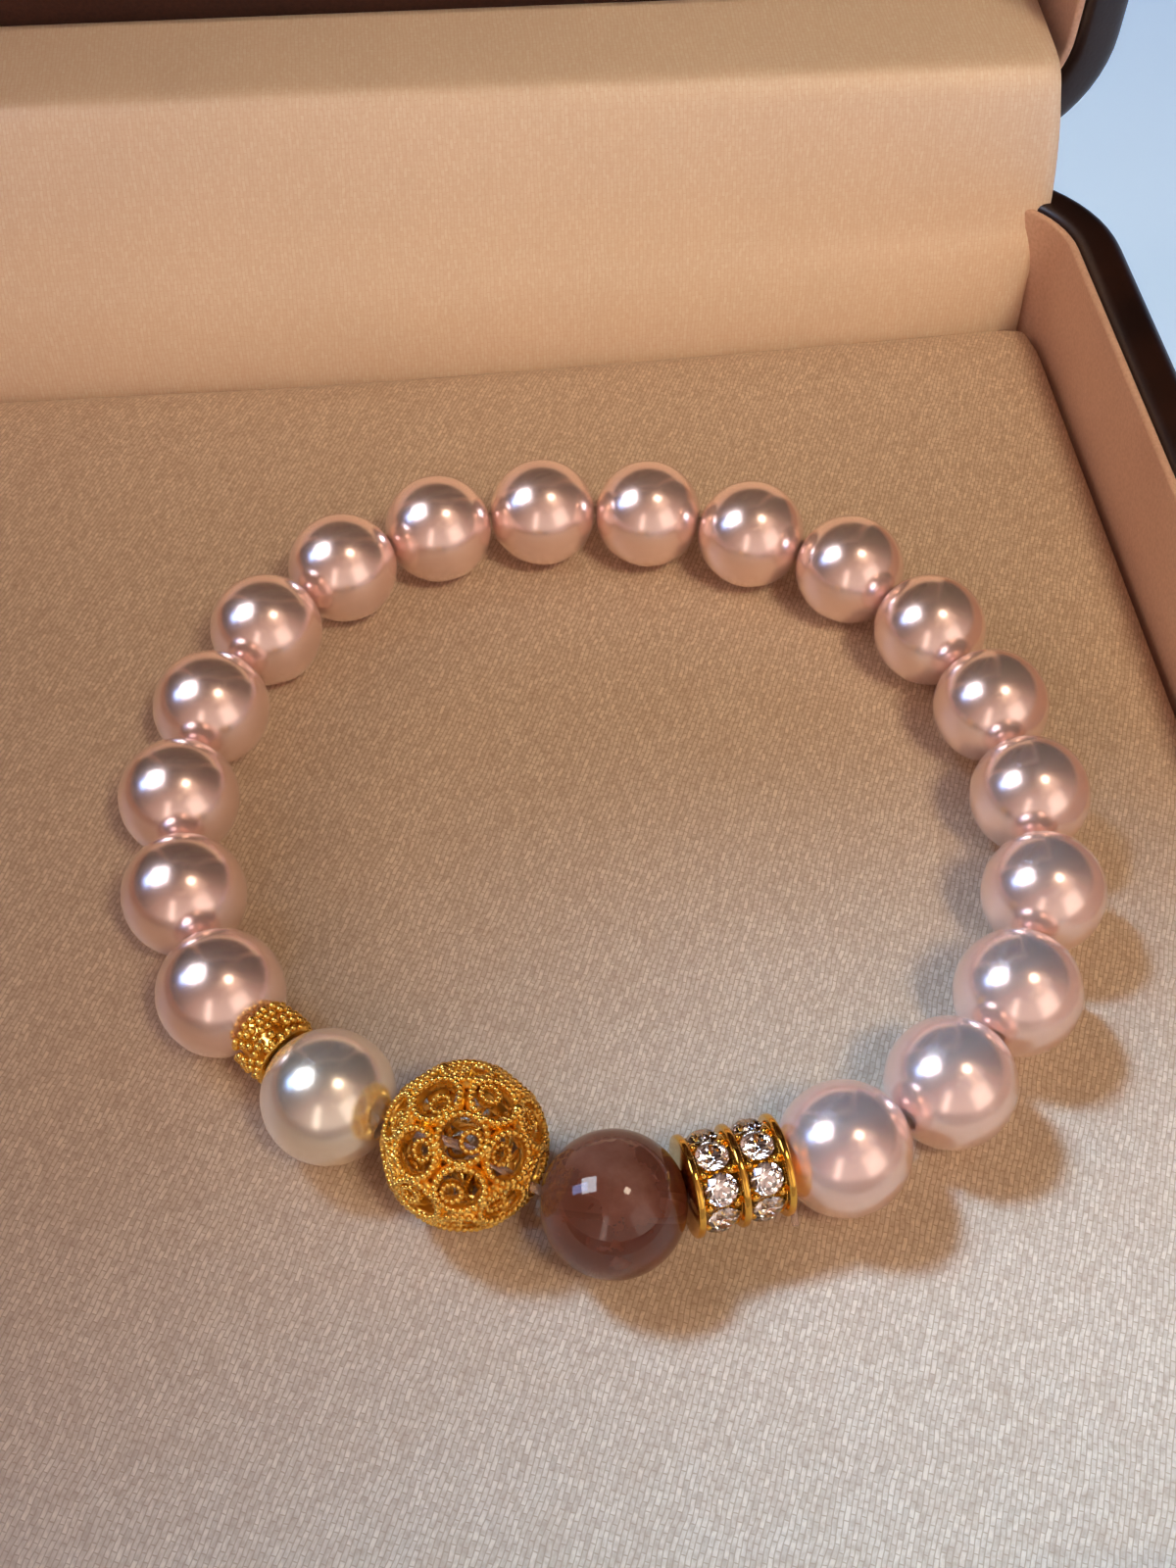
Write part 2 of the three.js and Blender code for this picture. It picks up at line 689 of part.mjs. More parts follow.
function buildTray() {
  const shell = loft([
    boxOutline(footRound, 0),
    boxOutline(0, footRound),
    boxOutline(0, trayHeight - rimRound),
    boxOutline(rimRound / 3, trayHeight - rimRound / 3),
    boxOutline(rimRound, trayHeight),
    boxOutline(wallThickness - rimRound / 2, trayHeight),
    boxOutline(wallThickness, trayHeight - rimRound / 2),
    boxOutline(wallThickness, baseThickness),
  ], false);
  const liningOuter = wallThickness + liningGap;
  const lining = loft([
    boxOutline(liningInset, baseThickness + liningGap),
    boxOutline(liningOuter, baseThickness + liningGap),
    boxOutline(liningOuter, trayHeight - liningDrop),
    boxOutline(liningInset, trayHeight - liningDrop),
  ], true);
  const padInset = liningInset + padSideGap;
  const padOutline = (inset, z) => roundedOutline({
    halfWidth: boxWidth / 2 - padInset - inset,
    front: padInset + inset - boxDepth / 2,
    back: padBack - inset,
    frontRadius: boxCornerRadius - padInset - inset,
    backRadius: padBackCornerRadius - inset,
  }, z);
  const pad = loft([
    padOutline(0, baseThickness + padFloorGap),
    padOutline(0, padTop - padRound),
    padOutline(padRound / 3, padTop - padRound / 3),
    padOutline(padRound, padTop),
  ], false);
  addPiece(inPart, 'tray_shell', geometryOf(solidOf(shell).subtract(leafRoom())), finishes.leatherette);
  addPiece(inPart, 'tray_lining', lining, finishes.suede);
  addPiece(inPart, 'satin_pad', pad, finishes.satin);
  addPiece(inPart, 'tray_flap', trayFlapGeometry(), finishes.satin);
  addPiece(inPart, 'hinge_leaf_tray', leafGeometry(-1), finishes.brass);
  addPiece(inPart, 'hinge_pin', geometryOf(hingeCylinder(pinDiameter, hingeLength, 0)), finishes.brass);
}

// The tray's part of the satin flap stands on the base behind the pad, and leans back above the rim.
// Its top corners are rounded as the box's are, so that the closed lid takes it in.
function trayFlapGeometry() {
  const lean = THREE.MathUtils.degToRad(flapLean);
  const foot = padBack + flapGap;
  const face = [
    new THREE.Vector2(foot, baseThickness + padFloorGap),
    new THREE.Vector2(foot, padTop),
    new THREE.Vector2(foot + flapSetback, trayHeight),
    new THREE.Vector2(
      foot + flapSetback + flapReach * Math.sin(lean),
      trayHeight + flapReach * Math.cos(lean),
    ),
  ];
  const sheet = sheetGeometry(face, flapThickness, boxWidth);
  const room = {
    halfWidth: boxWidth / 2 - liningInset - flapSideGap,
    front: 0,
    back: boxDepth / 2 - liningInset,
    frontRadius: boxCornerRadius - liningInset,
    backRadius: boxCornerRadius - liningInset,
  };
  const within = loft([roundedOutline(room, 0), roundedOutline(room, lidTop)], false);
  return geometryOf(solidOf(sheet).intersect(solidOf(within)));
}

function buildLid() {
  const roof = lidTop - baseThickness;
  const shell = loft([
    boxOutline(wallThickness, roof),
    boxOutline(wallThickness, lidRim + rimRound / 2),
    boxOutline(wallThickness - rimRound / 2, lidRim),
    boxOutline(rimRound, lidRim),
    boxOutline(rimRound / 3, lidRim + rimRound / 3),
    boxOutline(0, lidRim + rimRound),
    boxOutline(0, lidTop - footRound),
    boxOutline(footRound, lidTop),
  ], false);
  const liningOuter = wallThickness + liningGap;
  const lining = loft([
    boxOutline(liningInset, lidRim + liningDrop),
    boxOutline(liningOuter, lidRim + liningDrop),
    boxOutline(liningOuter, roof - liningGap),
    boxOutline(liningInset, roof - liningGap),
  ], true);
  const panelInset = liningInset + padSideGap;
  const panelFace = lidRim + padDepthBelowRim;
  const panel = loft([
    boxOutline(panelInset, panelFace),
    boxOutline(panelInset, roof - liningGap),
  ], false);
  const flapFace = hingeY - lidFlapOffset;
  const flap = sheetGeometry([
    new THREE.Vector2(flapFace - flapThickness, lidRim + flapGap),
    new THREE.Vector2(flapFace - flapThickness, panelFace - flapGap),
  ], flapThickness, boxWidth - 2 * (liningInset + flapSideGap));
  const lid = new THREE.Group();
  lid.position.set(0, hingeY, hingeZ);
  lid.rotation.x = -THREE.MathUtils.degToRad(lidOpenAngle);
  inPart.add(lid);
  const addClosed = (name, geometry, finish) => {
    addPiece(lid, name, geometry.translate(0, -hingeY, -hingeZ), finish);
  };
  addClosed('lid_shell', geometryOf(solidOf(shell).subtract(leafRoom())), finishes.leatherette);
  addClosed('lid_lining', lining, finishes.suede);
  addClosed('lid_panel', panel, finishes.darkPanel);
  addClosed('lid_flap', flap, finishes.satin);
  addClosed('hinge_leaf_lid', leafGeometry(1), finishes.brass);
}

buildBracelet();
buildTray();
buildLid();

export default inPart;
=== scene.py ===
import math
import random

import bmesh
import bpy
from mathutils import Matrix, Vector, noise


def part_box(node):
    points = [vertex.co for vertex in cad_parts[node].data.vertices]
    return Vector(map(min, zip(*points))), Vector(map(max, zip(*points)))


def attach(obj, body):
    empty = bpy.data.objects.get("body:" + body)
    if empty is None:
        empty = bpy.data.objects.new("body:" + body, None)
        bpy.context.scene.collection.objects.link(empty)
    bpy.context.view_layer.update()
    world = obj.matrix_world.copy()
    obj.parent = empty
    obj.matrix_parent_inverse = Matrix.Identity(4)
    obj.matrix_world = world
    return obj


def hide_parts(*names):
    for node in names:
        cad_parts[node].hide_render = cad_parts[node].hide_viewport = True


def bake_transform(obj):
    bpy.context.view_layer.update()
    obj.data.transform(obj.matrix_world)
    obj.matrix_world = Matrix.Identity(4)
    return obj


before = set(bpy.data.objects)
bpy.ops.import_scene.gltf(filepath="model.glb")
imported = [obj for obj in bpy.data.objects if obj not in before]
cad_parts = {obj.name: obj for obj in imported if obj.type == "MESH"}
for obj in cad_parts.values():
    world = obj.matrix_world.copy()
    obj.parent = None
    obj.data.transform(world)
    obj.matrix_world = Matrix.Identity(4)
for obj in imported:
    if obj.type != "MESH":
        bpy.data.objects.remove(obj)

mm = 0.001
up = Vector((0, 0, 1))
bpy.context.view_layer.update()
chance = random.Random(7)

# Camera, where the photograph was taken from
shot = {
    "place": (4.02, -78.15, 114.09),  # mm
    "aim": (11.93, 2.55, 12.5),
    "roll": 0.667,  # degrees
    "lens": 42.47,
    "sensor": 36,
}


def makeCamera():
    lens = bpy.data.cameras.new("camera")
    lens.lens = shot["lens"]
    lens.sensor_width = shot["sensor"]
    lens.clip_start = 0.005
    lens.clip_end = 10
    camera = bpy.data.objects.new("camera", lens)
    bpy.context.scene.collection.objects.link(camera)
    place = Vector(shot["place"]) * mm
    look = Vector(shot["aim"]) * mm - place
    turn = look.to_track_quat("-Z", "Y").to_matrix().to_4x4()
    roll = Matrix.Rotation(math.radians(shot["roll"]), 4, "Z")
    camera.matrix_world = Matrix.Translation(place) @ turn @ roll
    bpy.context.scene.camera = camera


makeCamera()
print("camera placed")


# Shared small tools
def linear(hexColour):  # sRGB hex to a linear colour
    parts = [int(hexColour[i:i + 2], 16) / 255 for i in (1, 3, 5)]
    return (*[c / 12.92 if c <= 0.04045 else ((c + 0.055) / 1.055) ** 2.4 for c in parts], 1)


def addNode(tree, kind, settings=None, inputs=None, stops=()):
    node = tree.nodes.new("ShaderNode" + kind)
    for name, value in (settings or {}).items():
        setattr(node, name, value)
    for name, value in (inputs or {}).items():
        if isinstance(value, bpy.types.NodeSocket):
            tree.links.new(value, node.inputs[name])
        else:
            node.inputs[name].default_value = value
    if stops:  # a colour ramp's places and colours
        ramp = node.color_ramp.elements
        while len(ramp) < len(stops):
            ramp.new(1)
        for element, (place, colour) in zip(ramp, stops):
            element.position = place
            element.color = linear(colour)
    return node


def startMaterial(name, values):
    material = bpy.data.materials.new(name)
    material.use_nodes = True
    tree = material.node_tree
    shader = tree.nodes["Principled BSDF"]
    for socket, value in values.items():
        shader.inputs[socket].default_value = value
    return material, tree, shader


def finishPiece(bm, name, material, body="tray", nodes=(), sharp=35, flat=False):
    mesh = bpy.data.meshes.new(name)
    bm.to_mesh(mesh)
    bm.free()
    mesh.materials.append(material)
    mesh.polygons.foreach_set("use_smooth", [not flat] * len(mesh.polygons))
    if not flat:
        mesh.set_sharp_from_angle(angle=math.radians(sharp))
    piece = bpy.data.objects.new(name, mesh)
    bpy.context.scene.collection.objects.link(piece)
    if nodes:
        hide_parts(*nodes)
    if body:
        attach(piece, body)
    return piece


def spinClosed(bm, profile, steps):  # a closed profile of (radius, along) turned about Y
    verts = [bm.verts.new((radius, along, 0)) for radius, along in profile]
    edges = [bm.edges.new((a, b)) for a, b in zip(verts, verts[1:] + verts[:1])]
    bmesh.ops.spin(
        bm, geom=verts + edges, cent=(0, 0, 0), axis=(0, 1, 0), angle=2 * math.pi, steps=steps,
        use_merge=True,
    )
    bmesh.ops.remove_doubles(bm, verts=bm.verts, dist=1e-7)
    bmesh.ops.recalc_face_normals(bm, faces=bm.faces)


def bevelEdges(bm, edges, offset, segments):
    return bmesh.ops.bevel(
        bm, geom=edges, offset=offset, segments=segments, profile=0.5, affect="EDGES", material=-1,
    )


def atHeight(bm, z):  # the edges that lie level at a height
    return [e for e in bm.edges if all(abs(v.co.z - z) < 1e-6 for v in e.verts)]


def roundedBlock(bm, low, high, corner, segments=14):  # sizes in mm, upright corners rounded
    low, high = Vector(low) * mm, Vector(high) * mm
    bmesh.ops.create_cube(bm, size=1)
    bmesh.ops.scale(bm, vec=high - low, verts=bm.verts)
    bmesh.ops.translate(bm, vec=(low + high) / 2, verts=bm.verts)
    upright = [e for e in bm.edges if abs(e.verts[0].co.z - e.verts[1].co.z) > 1e-6]
    bevelEdges(bm, upright, corner * mm, segments)


def faceAt(bm, z):  # the level face at a height
    return next(f for f in bm.faces if all(abs(v.co.z - z) < 1e-6 for v in f.verts))


# Where the beads sit on the thread, in the order in which they are strung
strung = [f"pink_pearl_{i:02d}" for i in range(1, 19)]
strung += ["stone_drum", "quartz_bead", "filigree_ball", "white_pearl", "granule_spacer"]


def middle(node):
    low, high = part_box(node)
    return (low + high) / 2


centres = [middle(node) for node in strung]


def threadFrame(node):  # Y along the thread, X to the inside of the loop, Z as near up as can be
    i = strung.index(node)
    coming = (centres[i] - centres[i - 1]).normalized()
    going = (centres[(i + 1) % len(centres)] - centres[i]).normalized()
    along = (coming + going).normalized()
    inward = along.cross(up).normalized()
    turn = Matrix((inward, along, inward.cross(along))).transposed().to_4x4()
    return Matrix.Translation(centres[i]) @ turn


# Materials of the jewel
def pearlMaterial(name, body, rim, shade):
    # Shell pearl: a glass bead dipped in many coats of nacre lacquer. Light sinks in a little and comes
    # back off the layers almost as from metal, so it mirrors the room softly and keeps its body colour.
    material, tree, shader = startMaterial(name, {
        "Metallic": 0.8, "Roughness": 0.24, "IOR": 1.53, "Coat Weight": 0.35, "Coat Roughness": 0.12,
        "Coat IOR": 1.53, "Sheen Weight": 0.2, "Sheen Roughness": 0.3, "Sheen Tint": linear("#ffdace"),
    })
    place = addNode(tree, "TexCoord").outputs["Object"]
    cloud = addNode(tree, "TexNoise", {}, {"Vector": place, "Scale": 260, "Detail": 3}).outputs["Fac"]
    tint = addNode(tree, "Mix", {"data_type": "RGBA"}, {0: cloud, 6: linear(body), 7: linear(shade)})
    # The paler rim colour towards the outline is painted sheen: the base colour grows lighter at grazing
    # angles.
    facing = addNode(tree, "LayerWeight", {}, {"Blend": 0.35}).outputs["Facing"]
    edge = addNode(tree, "Math", {"operation": "POWER"}, {0: facing, 1: 2.2}).outputs[0]
    colour = addNode(tree, "Mix", {"data_type": "RGBA"}, {0: edge, 6: tint.outputs[2], 7: linear(rim)})
    tree.links.new(colour.outputs[2], shader.inputs["Base Color"])
    skin = addNode(tree, "TexNoise", {}, {"Vector": place, "Scale": 900, "Detail": 2}).outputs["Fac"]
    bump = addNode(tree, "Bump", {}, {"Strength": 0.05, "Distance": 0.05 * mm, "Height": skin})
    tree.links.new(bump.outputs["Normal"], shader.inputs["Normal"])
    return material


def goldMaterial(name, colour, deep, roughness, scale):
    # Gold-plated brass, burnished: a warm mirror whose finest scratches only soften it.
    material, tree, shader = startMaterial(name, {"Metallic": 1.0})
    place = addNode(tree, "TexCoord").outputs["Object"]
    wear = addNode(tree, "TexNoise", {}, {"Vector": place, "Scale": scale, "Detail": 4}).outputs["Fac"]
    tint = addNode(tree, "Mix", {"data_type": "RGBA"}, {0: wear, 6: linear(colour), 7: linear(deep)})
    tree.links.new(tint.outputs[2], shader.inputs["Base Color"])
    rough = addNode(tree, "MapRange", {}, {
        "Value": wear, "To Min": roughness * 0.7, "To Max": roughness * 1.4,
    })
    tree.links.new(rough.outputs[0], shader.inputs["Roughness"])
    return material


def quartzMaterial():
    # Polished strawberry quartz: clear crystal full of rose-brown haze, so it glows darkly inside.
    material, tree, shader = startMaterial("polishedQuartz", {
        "Roughness": 0.02, "IOR": 1.544, "Transmission Weight": 0.4,
    })
    place = addNode(tree, "TexCoord").outputs["Object"]
    haze = addNode(tree, "TexNoise", {}, {"Vector": place, "Scale": 220, "Detail": 5, "Roughness": 0.6})
    tint = addNode(tree, "ValToRGB", {}, {"Fac": haze.outputs["Fac"]}, [
        (0.3, "#66321f"), (0.5, "#7a4331"), (0.7, "#945e49"),
    ])
    tree.links.new(tint.outputs[0], shader.inputs["Base Color"])
    return material


pinkNacre = pearlMaterial("pinkNacre", "#ffe7df", "#fff0e9", "#fbdbd3")
whiteNacre = pearlMaterial("whiteNacre", "#fff7ea", "#fff8ec", "#f8eee0")
granulatedGold = goldMaterial("granulatedGold", "#ffd873", "#f7bf50", 0.26, 900)
polishedGold = goldMaterial("polishedGold", "#fbce66", "#eab146", 0.13, 500)
clearQuartz = quartzMaterial()
cutZircon = startMaterial("cutZircon", {
    # Cubic zirconia: a very high index, so each facet is either a mirror or a window.
    "Base Color": linear("#fbfcff"), "Roughness": 0.0, "IOR": 2.16, "Transmission Weight": 1.0,
})[0]
frostedBore = startMaterial("frostedBore", {
    # A drilled hole left unpolished: ground crystal, pale and matt.
    "Base Color": linear("#e3c5b8"), "Roughness": 0.6, "Transmission Weight": 0.5,
})[0]
stretchCord = startMaterial("stretchCord", {
    # Clear polyurethane beading cord, a soft plastic that passes light.
    "Base Color": linear("#f3dcd0"), "Roughness": 0.25, "IOR": 1.5, "Transmission Weight": 0.75,
})[0]

# Pearls
pearl = {"pinkDiameter": 8, "whiteDiameter": 8.1, "mouth": 1.2, "mouthRound": 0.14, "arcs": 40, "sides": 64}


def drilledBead(bm, radius, arcs, sides):
    hole = pearl["mouth"] / 2
    start = math.acos((hole + pearl["mouthRound"]) / radius)
    turns = [start * (2 * i / arcs - 1) for i in range(arcs + 1)]
    profile = [(radius * math.cos(a), radius * math.sin(a)) for a in turns]
    end = profile[-1][1]
    turn = pearl["mouthRound"]
    lip = [(hole + turn * 0.3, end - turn * 0.15), (hole, end - turn)]
    profile += lip + [(r, -y) for r, y in reversed(lip)]
    spinClosed(bm, [(r * mm, y * mm) for r, y in profile], sides)


def makePearl(node, name, diameter, material):
    bm = bmesh.new()
    drilledBead(bm, diameter / 2, pearl["arcs"], pearl["sides"])
    bmesh.ops.transform(bm, matrix=threadFrame(node), verts=bm.verts)
    finishPiece(bm, name, material, nodes=[node])


for number in range(1, 19):
    node, name = f"pink_pearl_{number:02d}", f"pinkPearl{number:02d}"
    makePearl(node, name, pearl["pinkDiameter"], pinkNacre)
makePearl("white_pearl", "whitePearl", pearl["whiteDiameter"], whiteNacre)
print("pearls strung")

# Quartz bead, with a few hair-fine flecks in the crystal
quartz = {
    "diameter": 8.5, "arcs": 48, "sides": 80, "wallMargin": 0.01,
    "flecks": 26, "fleck": 0.09, "fleckPlaces": (1.2, 3.4), "fleckSizes": (0.5, 1.3),
    "fleckStretch": (1, 3.5), "fleckThin": 0.25,
}


def makeQuartz():
    bm = bmesh.new()
    drilledBead(bm, quartz["diameter"] / 2, quartz["arcs"], quartz["sides"])
    for face in bm.faces:  # the bore's wall is frosted
        centre = face.calc_center_median()
        if math.hypot(centre.x, centre.z) < (pearl["mouth"] / 2 + quartz["wallMargin"]) * mm:
            face.material_index = 1
    bmesh.ops.transform(bm, matrix=threadFrame("quartz_bead"), verts=bm.verts)
    piece = finishPiece(bm, "quartzBead", clearQuartz, nodes=["quartz_bead"])
    piece.data.materials.append(frostedBore)


def makeFlecks():
    bm = bmesh.new()
    for _ in range(quartz["flecks"]):
        direction = Vector((chance.gauss(0, 1), chance.gauss(0, 1), chance.gauss(0, 1))).normalized()
        place = direction * chance.uniform(*quartz["fleckPlaces"]) * mm
        size = quartz["fleck"] * chance.uniform(*quartz["fleckSizes"]) * mm
        turn = direction.to_track_quat("Z", "Y").to_matrix().to_4x4()
        stretch = Matrix.Diagonal((1, chance.uniform(*quartz["fleckStretch"]), quartz["fleckThin"], 1))
        bmesh.ops.create_icosphere(
            bm, subdivisions=1, radius=size, matrix=Matrix.Translation(place) @ turn @ stretch,
        )
    bmesh.ops.transform(bm, matrix=threadFrame("quartz_bead"), verts=bm.verts)
    finishPiece(bm, "quartzFlecks", fleckMaterial)


fleckMaterial = startMaterial("mineralFlecks", {
    # Iron-oxide flakes in the quartz, thin and coppery.
    "Base Color": linear("#b0684c"), "Roughness": 0.35, "Metallic": 0.4,
})[0]
makeQuartz()
makeFlecks()
print("quartz made")

# Filigree ball: granulated wire rings soldered side by side, a small scroll ring inside each
filigree = {
    "diameter": 9.86, "ringAngle": 17.3, "spin": 51, "granule": 0.43, "wire": (0.4, 0.95), "sink": 0.4,
    "scroll": 0.56, "scrollGranule": 0.33, "scrollWire": (0.3, 0.7), "scrollSink": 0.3,
    "solder": 0.38, "smallSolder": 0.25, "solderSink": 0.06,
    "granuleSpacing": 0.95, "granuleSizes": (0.92, 1.06), "scrollRest": 0.75,  # shares of a granule
    "wireSides": 8, "wireSteps": 28, "neighbours": 38.5,  # degrees between rings that touch, at most
}


def ballDirections():  # the 12 corners and 20 face centres of an icosahedron, a face centre on the thread
    bm = bmesh.new()
    bmesh.ops.create_icosphere(bm, subdivisions=1, radius=1)
    corners = [v.co.normalized() for v in bm.verts]
    faces = [f.calc_center_median().normalized() for f in bm.faces]
    bm.free()
    pole = faces[0]
    near = max(faces[1:], key=lambda face: face.dot(pole))
    across = (near - pole * near.dot(pole)).normalized()
    toThread = Matrix((across, pole, across.cross(pole)))
    turn = Matrix.Rotation(-math.radians(filigree["spin"]), 3, "Y") @ toThread
    return [turn @ d for d in corners + faces]


def addCopy(bm, mesh, place):  # adds a turned and moved copy of a small mesh to a bigger one
    part = bmesh.new()
    part.from_mesh(mesh)
    bmesh.ops.transform(part, matrix=place, verts=part.verts)
    copy = bpy.data.meshes.new("copy")
    part.to_mesh(copy)
    part.free()
    bm.from_mesh(copy)
    bpy.data.meshes.remove(copy)


def granuleRing(bm, across, radius, granule):  # a level ring of small balls about (across, 0)
    count = round(2 * math.pi * radius / (granule * filigree["granuleSpacing"]))
    for i in range(count):
        angle = 2 * math.pi * i / count
        spot = Vector((across + radius * math.cos(angle), radius * math.sin(angle), 0)) * mm
        size = granule / 2 * chance.uniform(*filigree["granuleSizes"]) * mm
        bmesh.ops.create_icosphere(bm, subdivisions=2, radius=size, matrix=Matrix.Translation(spot))


def wireRing(bm, across, radius, wire, height):  # a level ring of oval wire about (across, 0)
    spot = Matrix.Translation(Vector((across + radius, 0, height)) * mm)
    oval = Matrix.Diagonal((wire[0] / 2, wire[1] / 2, 1, 1))
    section = spot @ Matrix.Rotation(math.pi / 2, 4, "X") @ oval
    made = bmesh.ops.create_circle(bm, segments=filigree["wireSides"], radius=mm, matrix=section)
    rim = list({edge for vert in made["verts"] for edge in vert.link_edges})
    bmesh.ops.spin(
        bm, geom=made["verts"] + rim, cent=(across * mm, 0, 0), axis=(0, 0, 1), angle=2 * math.pi,
        steps=filigree["wireSteps"], use_merge=True,
    )


def makeRing(radius, scroll):  # one ring of the filigree, lying level, its scroll at +X
    bm = bmesh.new()
    granuleRing(bm, 0, radius, filigree["granule"])
    wireRing(bm, 0, radius, filigree["wire"], -filigree["sink"])
    if scroll:
        offset = radius - filigree["scroll"] - filigree["granule"] * filigree["scrollRest"]
        granuleRing(bm, offset, filigree["scroll"], filigree["scrollGranule"])
        wireRing(bm, offset, filigree["scroll"], filigree["scrollWire"], -filigree["scrollSink"])
    mesh = bpy.data.meshes.new("ring")
    bm.to_mesh(mesh)
    bm.free()
    return mesh


def makeFiligree():
    reach = filigree["diameter"] / 2 - filigree["granule"] / 2
    spread = math.radians(filigree["ringAngle"])
    plain = makeRing(reach * math.sin(spread), False)
    scrolled = makeRing(reach * math.sin(spread), True)
    directions = ballDirections()
    touching = math.cos(math.radians(filigree["neighbours"]))
    bm = bmesh.new()
    drops = bmesh.new()
    for i, direction in enumerate(directions):
        near = [d for d in directions if d is not direction and d.dot(direction) > touching]
        mate = max(near, key=lambda d: abs((d - direction).normalized().y))
        across = (mate - direction * mate.dot(direction)).normalized()
        turn = Matrix((across, direction.cross(across), direction)).transposed().to_4x4()
        place = Matrix.Translation(direction * reach * math.cos(spread) * mm) @ turn
        onThread = abs(direction.y) > 0.99  # the two rings that the thread passes stay open
        addCopy(bm, plain if onThread else scrolled, place)
        for other in directions[i + 1:]:
            if other.dot(direction) > touching:
                size = filigree["solder"] if other is mate else filigree["smallSolder"]
                depth = reach - filigree["solderSink"]
                drop = Matrix.Translation((direction + other).normalized() * depth * mm)
                bmesh.ops.create_icosphere(drops, subdivisions=2, radius=size * mm, matrix=drop)
    solder = bpy.data.meshes.new("solder")
    drops.to_mesh(solder)
    drops.free()
    bm.from_mesh(solder)
    bmesh.ops.transform(bm, matrix=threadFrame("filigree_ball"), verts=bm.verts)
    finishPiece(bm, "filigreeBall", granulatedGold, nodes=["filigree_ball"], sharp=60)


makeFiligree()
print("filigree soldered")

# Stone drum
drum = {
    "radius": 3.0, "bore": 1.0, "rim": 0.45, "rimRound": 0.16, "lip": 2.5, "prong": 0.27,
    "prongShare": 0.72, "facing": 51, "rows": 2, "perRow": 8, "sideGap": 0.16, "spacing": 0.07,
    "tableSink": 0.1, "floorGap": 0.12, "chamfer": 0.08, "sides": 96, "prongLift": 0.75,
}
stone = {"crown": 0.17, "girdle": 0.03, "pavilion": 0.43, "table": 0.57, "lower": 0.3}
ringShare = math.sin(math.pi / drum["perRow"])
stoneDiameter = (2 * drum["radius"] * ringShare - drum["spacing"]) / (
    1 + 2 * (stone["crown"] + stone["girdle"]) * ringShare
)
grooveWidth = stoneDiameter + 2 * drum["sideGap"]
drumLength = drum["rows"] * grooveWidth + (drum["rows"] + 1) * drum["rim"]
rowPitch = grooveWidth + drum["rim"]
girdleRadius = drum["radius"] - drum["tableSink"] - stone["crown"] * stoneDiameter
grooveFloor = girdleRadius - (stone["pavilion"] + stone["girdle"]) * stoneDiameter - drum["floorGap"]


def rowHeight(row):
    return (row - (drum["rows"] - 1) / 2) * rowPitch


def stoneAngle(place):
    return math.pi - math.radians(drum["facing"]) + 2 * math.pi * place / drum["perRow"]


def roundedRim(low, high):  # a rim's section, its two top corners rounded
    turn, radius = drum["rimRound"], drum["radius"]
    corners = [(low + turn, -1), (high - turn, 1)]
    points = []
    for along, side in corners:
        for step in range(5):
            angle = math.radians(90 * step / 4 if side > 0 else 90 - 90 * step / 4)
            points.append((radius - turn + turn * math.cos(angle), along + side * turn * math.sin(angle)))
    return points


def makeDrum():
    bm = bmesh.new()
    half = drumLength / 2
    chamfer = drum["chamfer"]
    profile = [(drum["bore"], -half + chamfer), (drum["bore"] + chamfer, -half)]
    for rim in range(drum["rows"] + 1):
        low = -half + rim * rowPitch
        if rim:
            profile.append((drum["lip"], low))
        profile += roundedRim(low, low + drum["rim"])
        if rim < drum["rows"]:
            profile += [(drum["lip"], low + drum["rim"]), (grooveFloor, rowHeight(rim))]
    profile += [(drum["bore"] + chamfer, half), (drum["bore"], half - chamfer)]
    spinClosed(bm, [(r * mm, y * mm) for r, y in profile], drum["sides"])
    lift = drum["prong"] * drum["prongLift"]
    seat = grooveFloor + (drum["lip"] - grooveFloor) * drum["prongShare"] + lift
    for row in range(drum["rows"]):
        for place in range(drum["perRow"]):
            angle = stoneAngle(place + 0.5)
            for side in (-1, 1):
                along = rowHeight(row) + side * drum["prongShare"] * grooveWidth / 2
                spot = Vector((seat * math.cos(angle), along, seat * math.sin(angle))) * mm
                bmesh.ops.create_icosphere(
                    bm, subdivisions=3, radius=drum["prong"] * mm, matrix=Matrix.Translation(spot),
                )
    bmesh.ops.transform(bm, matrix=threadFrame("stone_drum"), verts=bm.verts)
    finishPiece(bm, "stoneDrum", polishedGold, nodes=["stone_drum"], sharp=40)


def brilliant(bm):  # a round brilliant with its table facing +Y, the hull of its facets' corners
    radius = stoneDiameter / 2
    crown, girdle = stone["crown"] * stoneDiameter, stone["girdle"] * stoneDiameter
    pavilion, table = stone["pavilion"] * stoneDiameter, stone["table"] * radius
    half = math.cos(math.pi / 8)
    star, lower = (table + radius) / 2, stone["lower"] * radius
    starHeight = crown * (radius - star * half) / (radius - table)
    lowerHeight = -girdle - pavilion * (1 - lower * half / radius)
    rows = [  # radius, height, sides, turn in steps
        (table, crown, 8, 0), (star, starHeight, 8, 0.5), (radius, 0, 16, 0), (radius, -girdle, 16, 0),
        (lower, lowerHeight, 8, 0.5),
    ]
    for ring, height, sides, shift in rows:
        for i in range(sides):
            angle = 2 * math.pi * (i + shift) / sides
            bm.verts.new((ring * math.cos(angle) * mm, height * mm, ring * math.sin(angle) * mm))
    bm.verts.new((0, -(girdle + pavilion) * mm, 0))
    bmesh.ops.convex_hull(bm, input=bm.verts)
    bmesh.ops.dissolve_limit(bm, angle_limit=math.radians(0.5), verts=bm.verts, edges=bm.edges)
    bmesh.ops.recalc_face_normals(bm, faces=bm.faces)


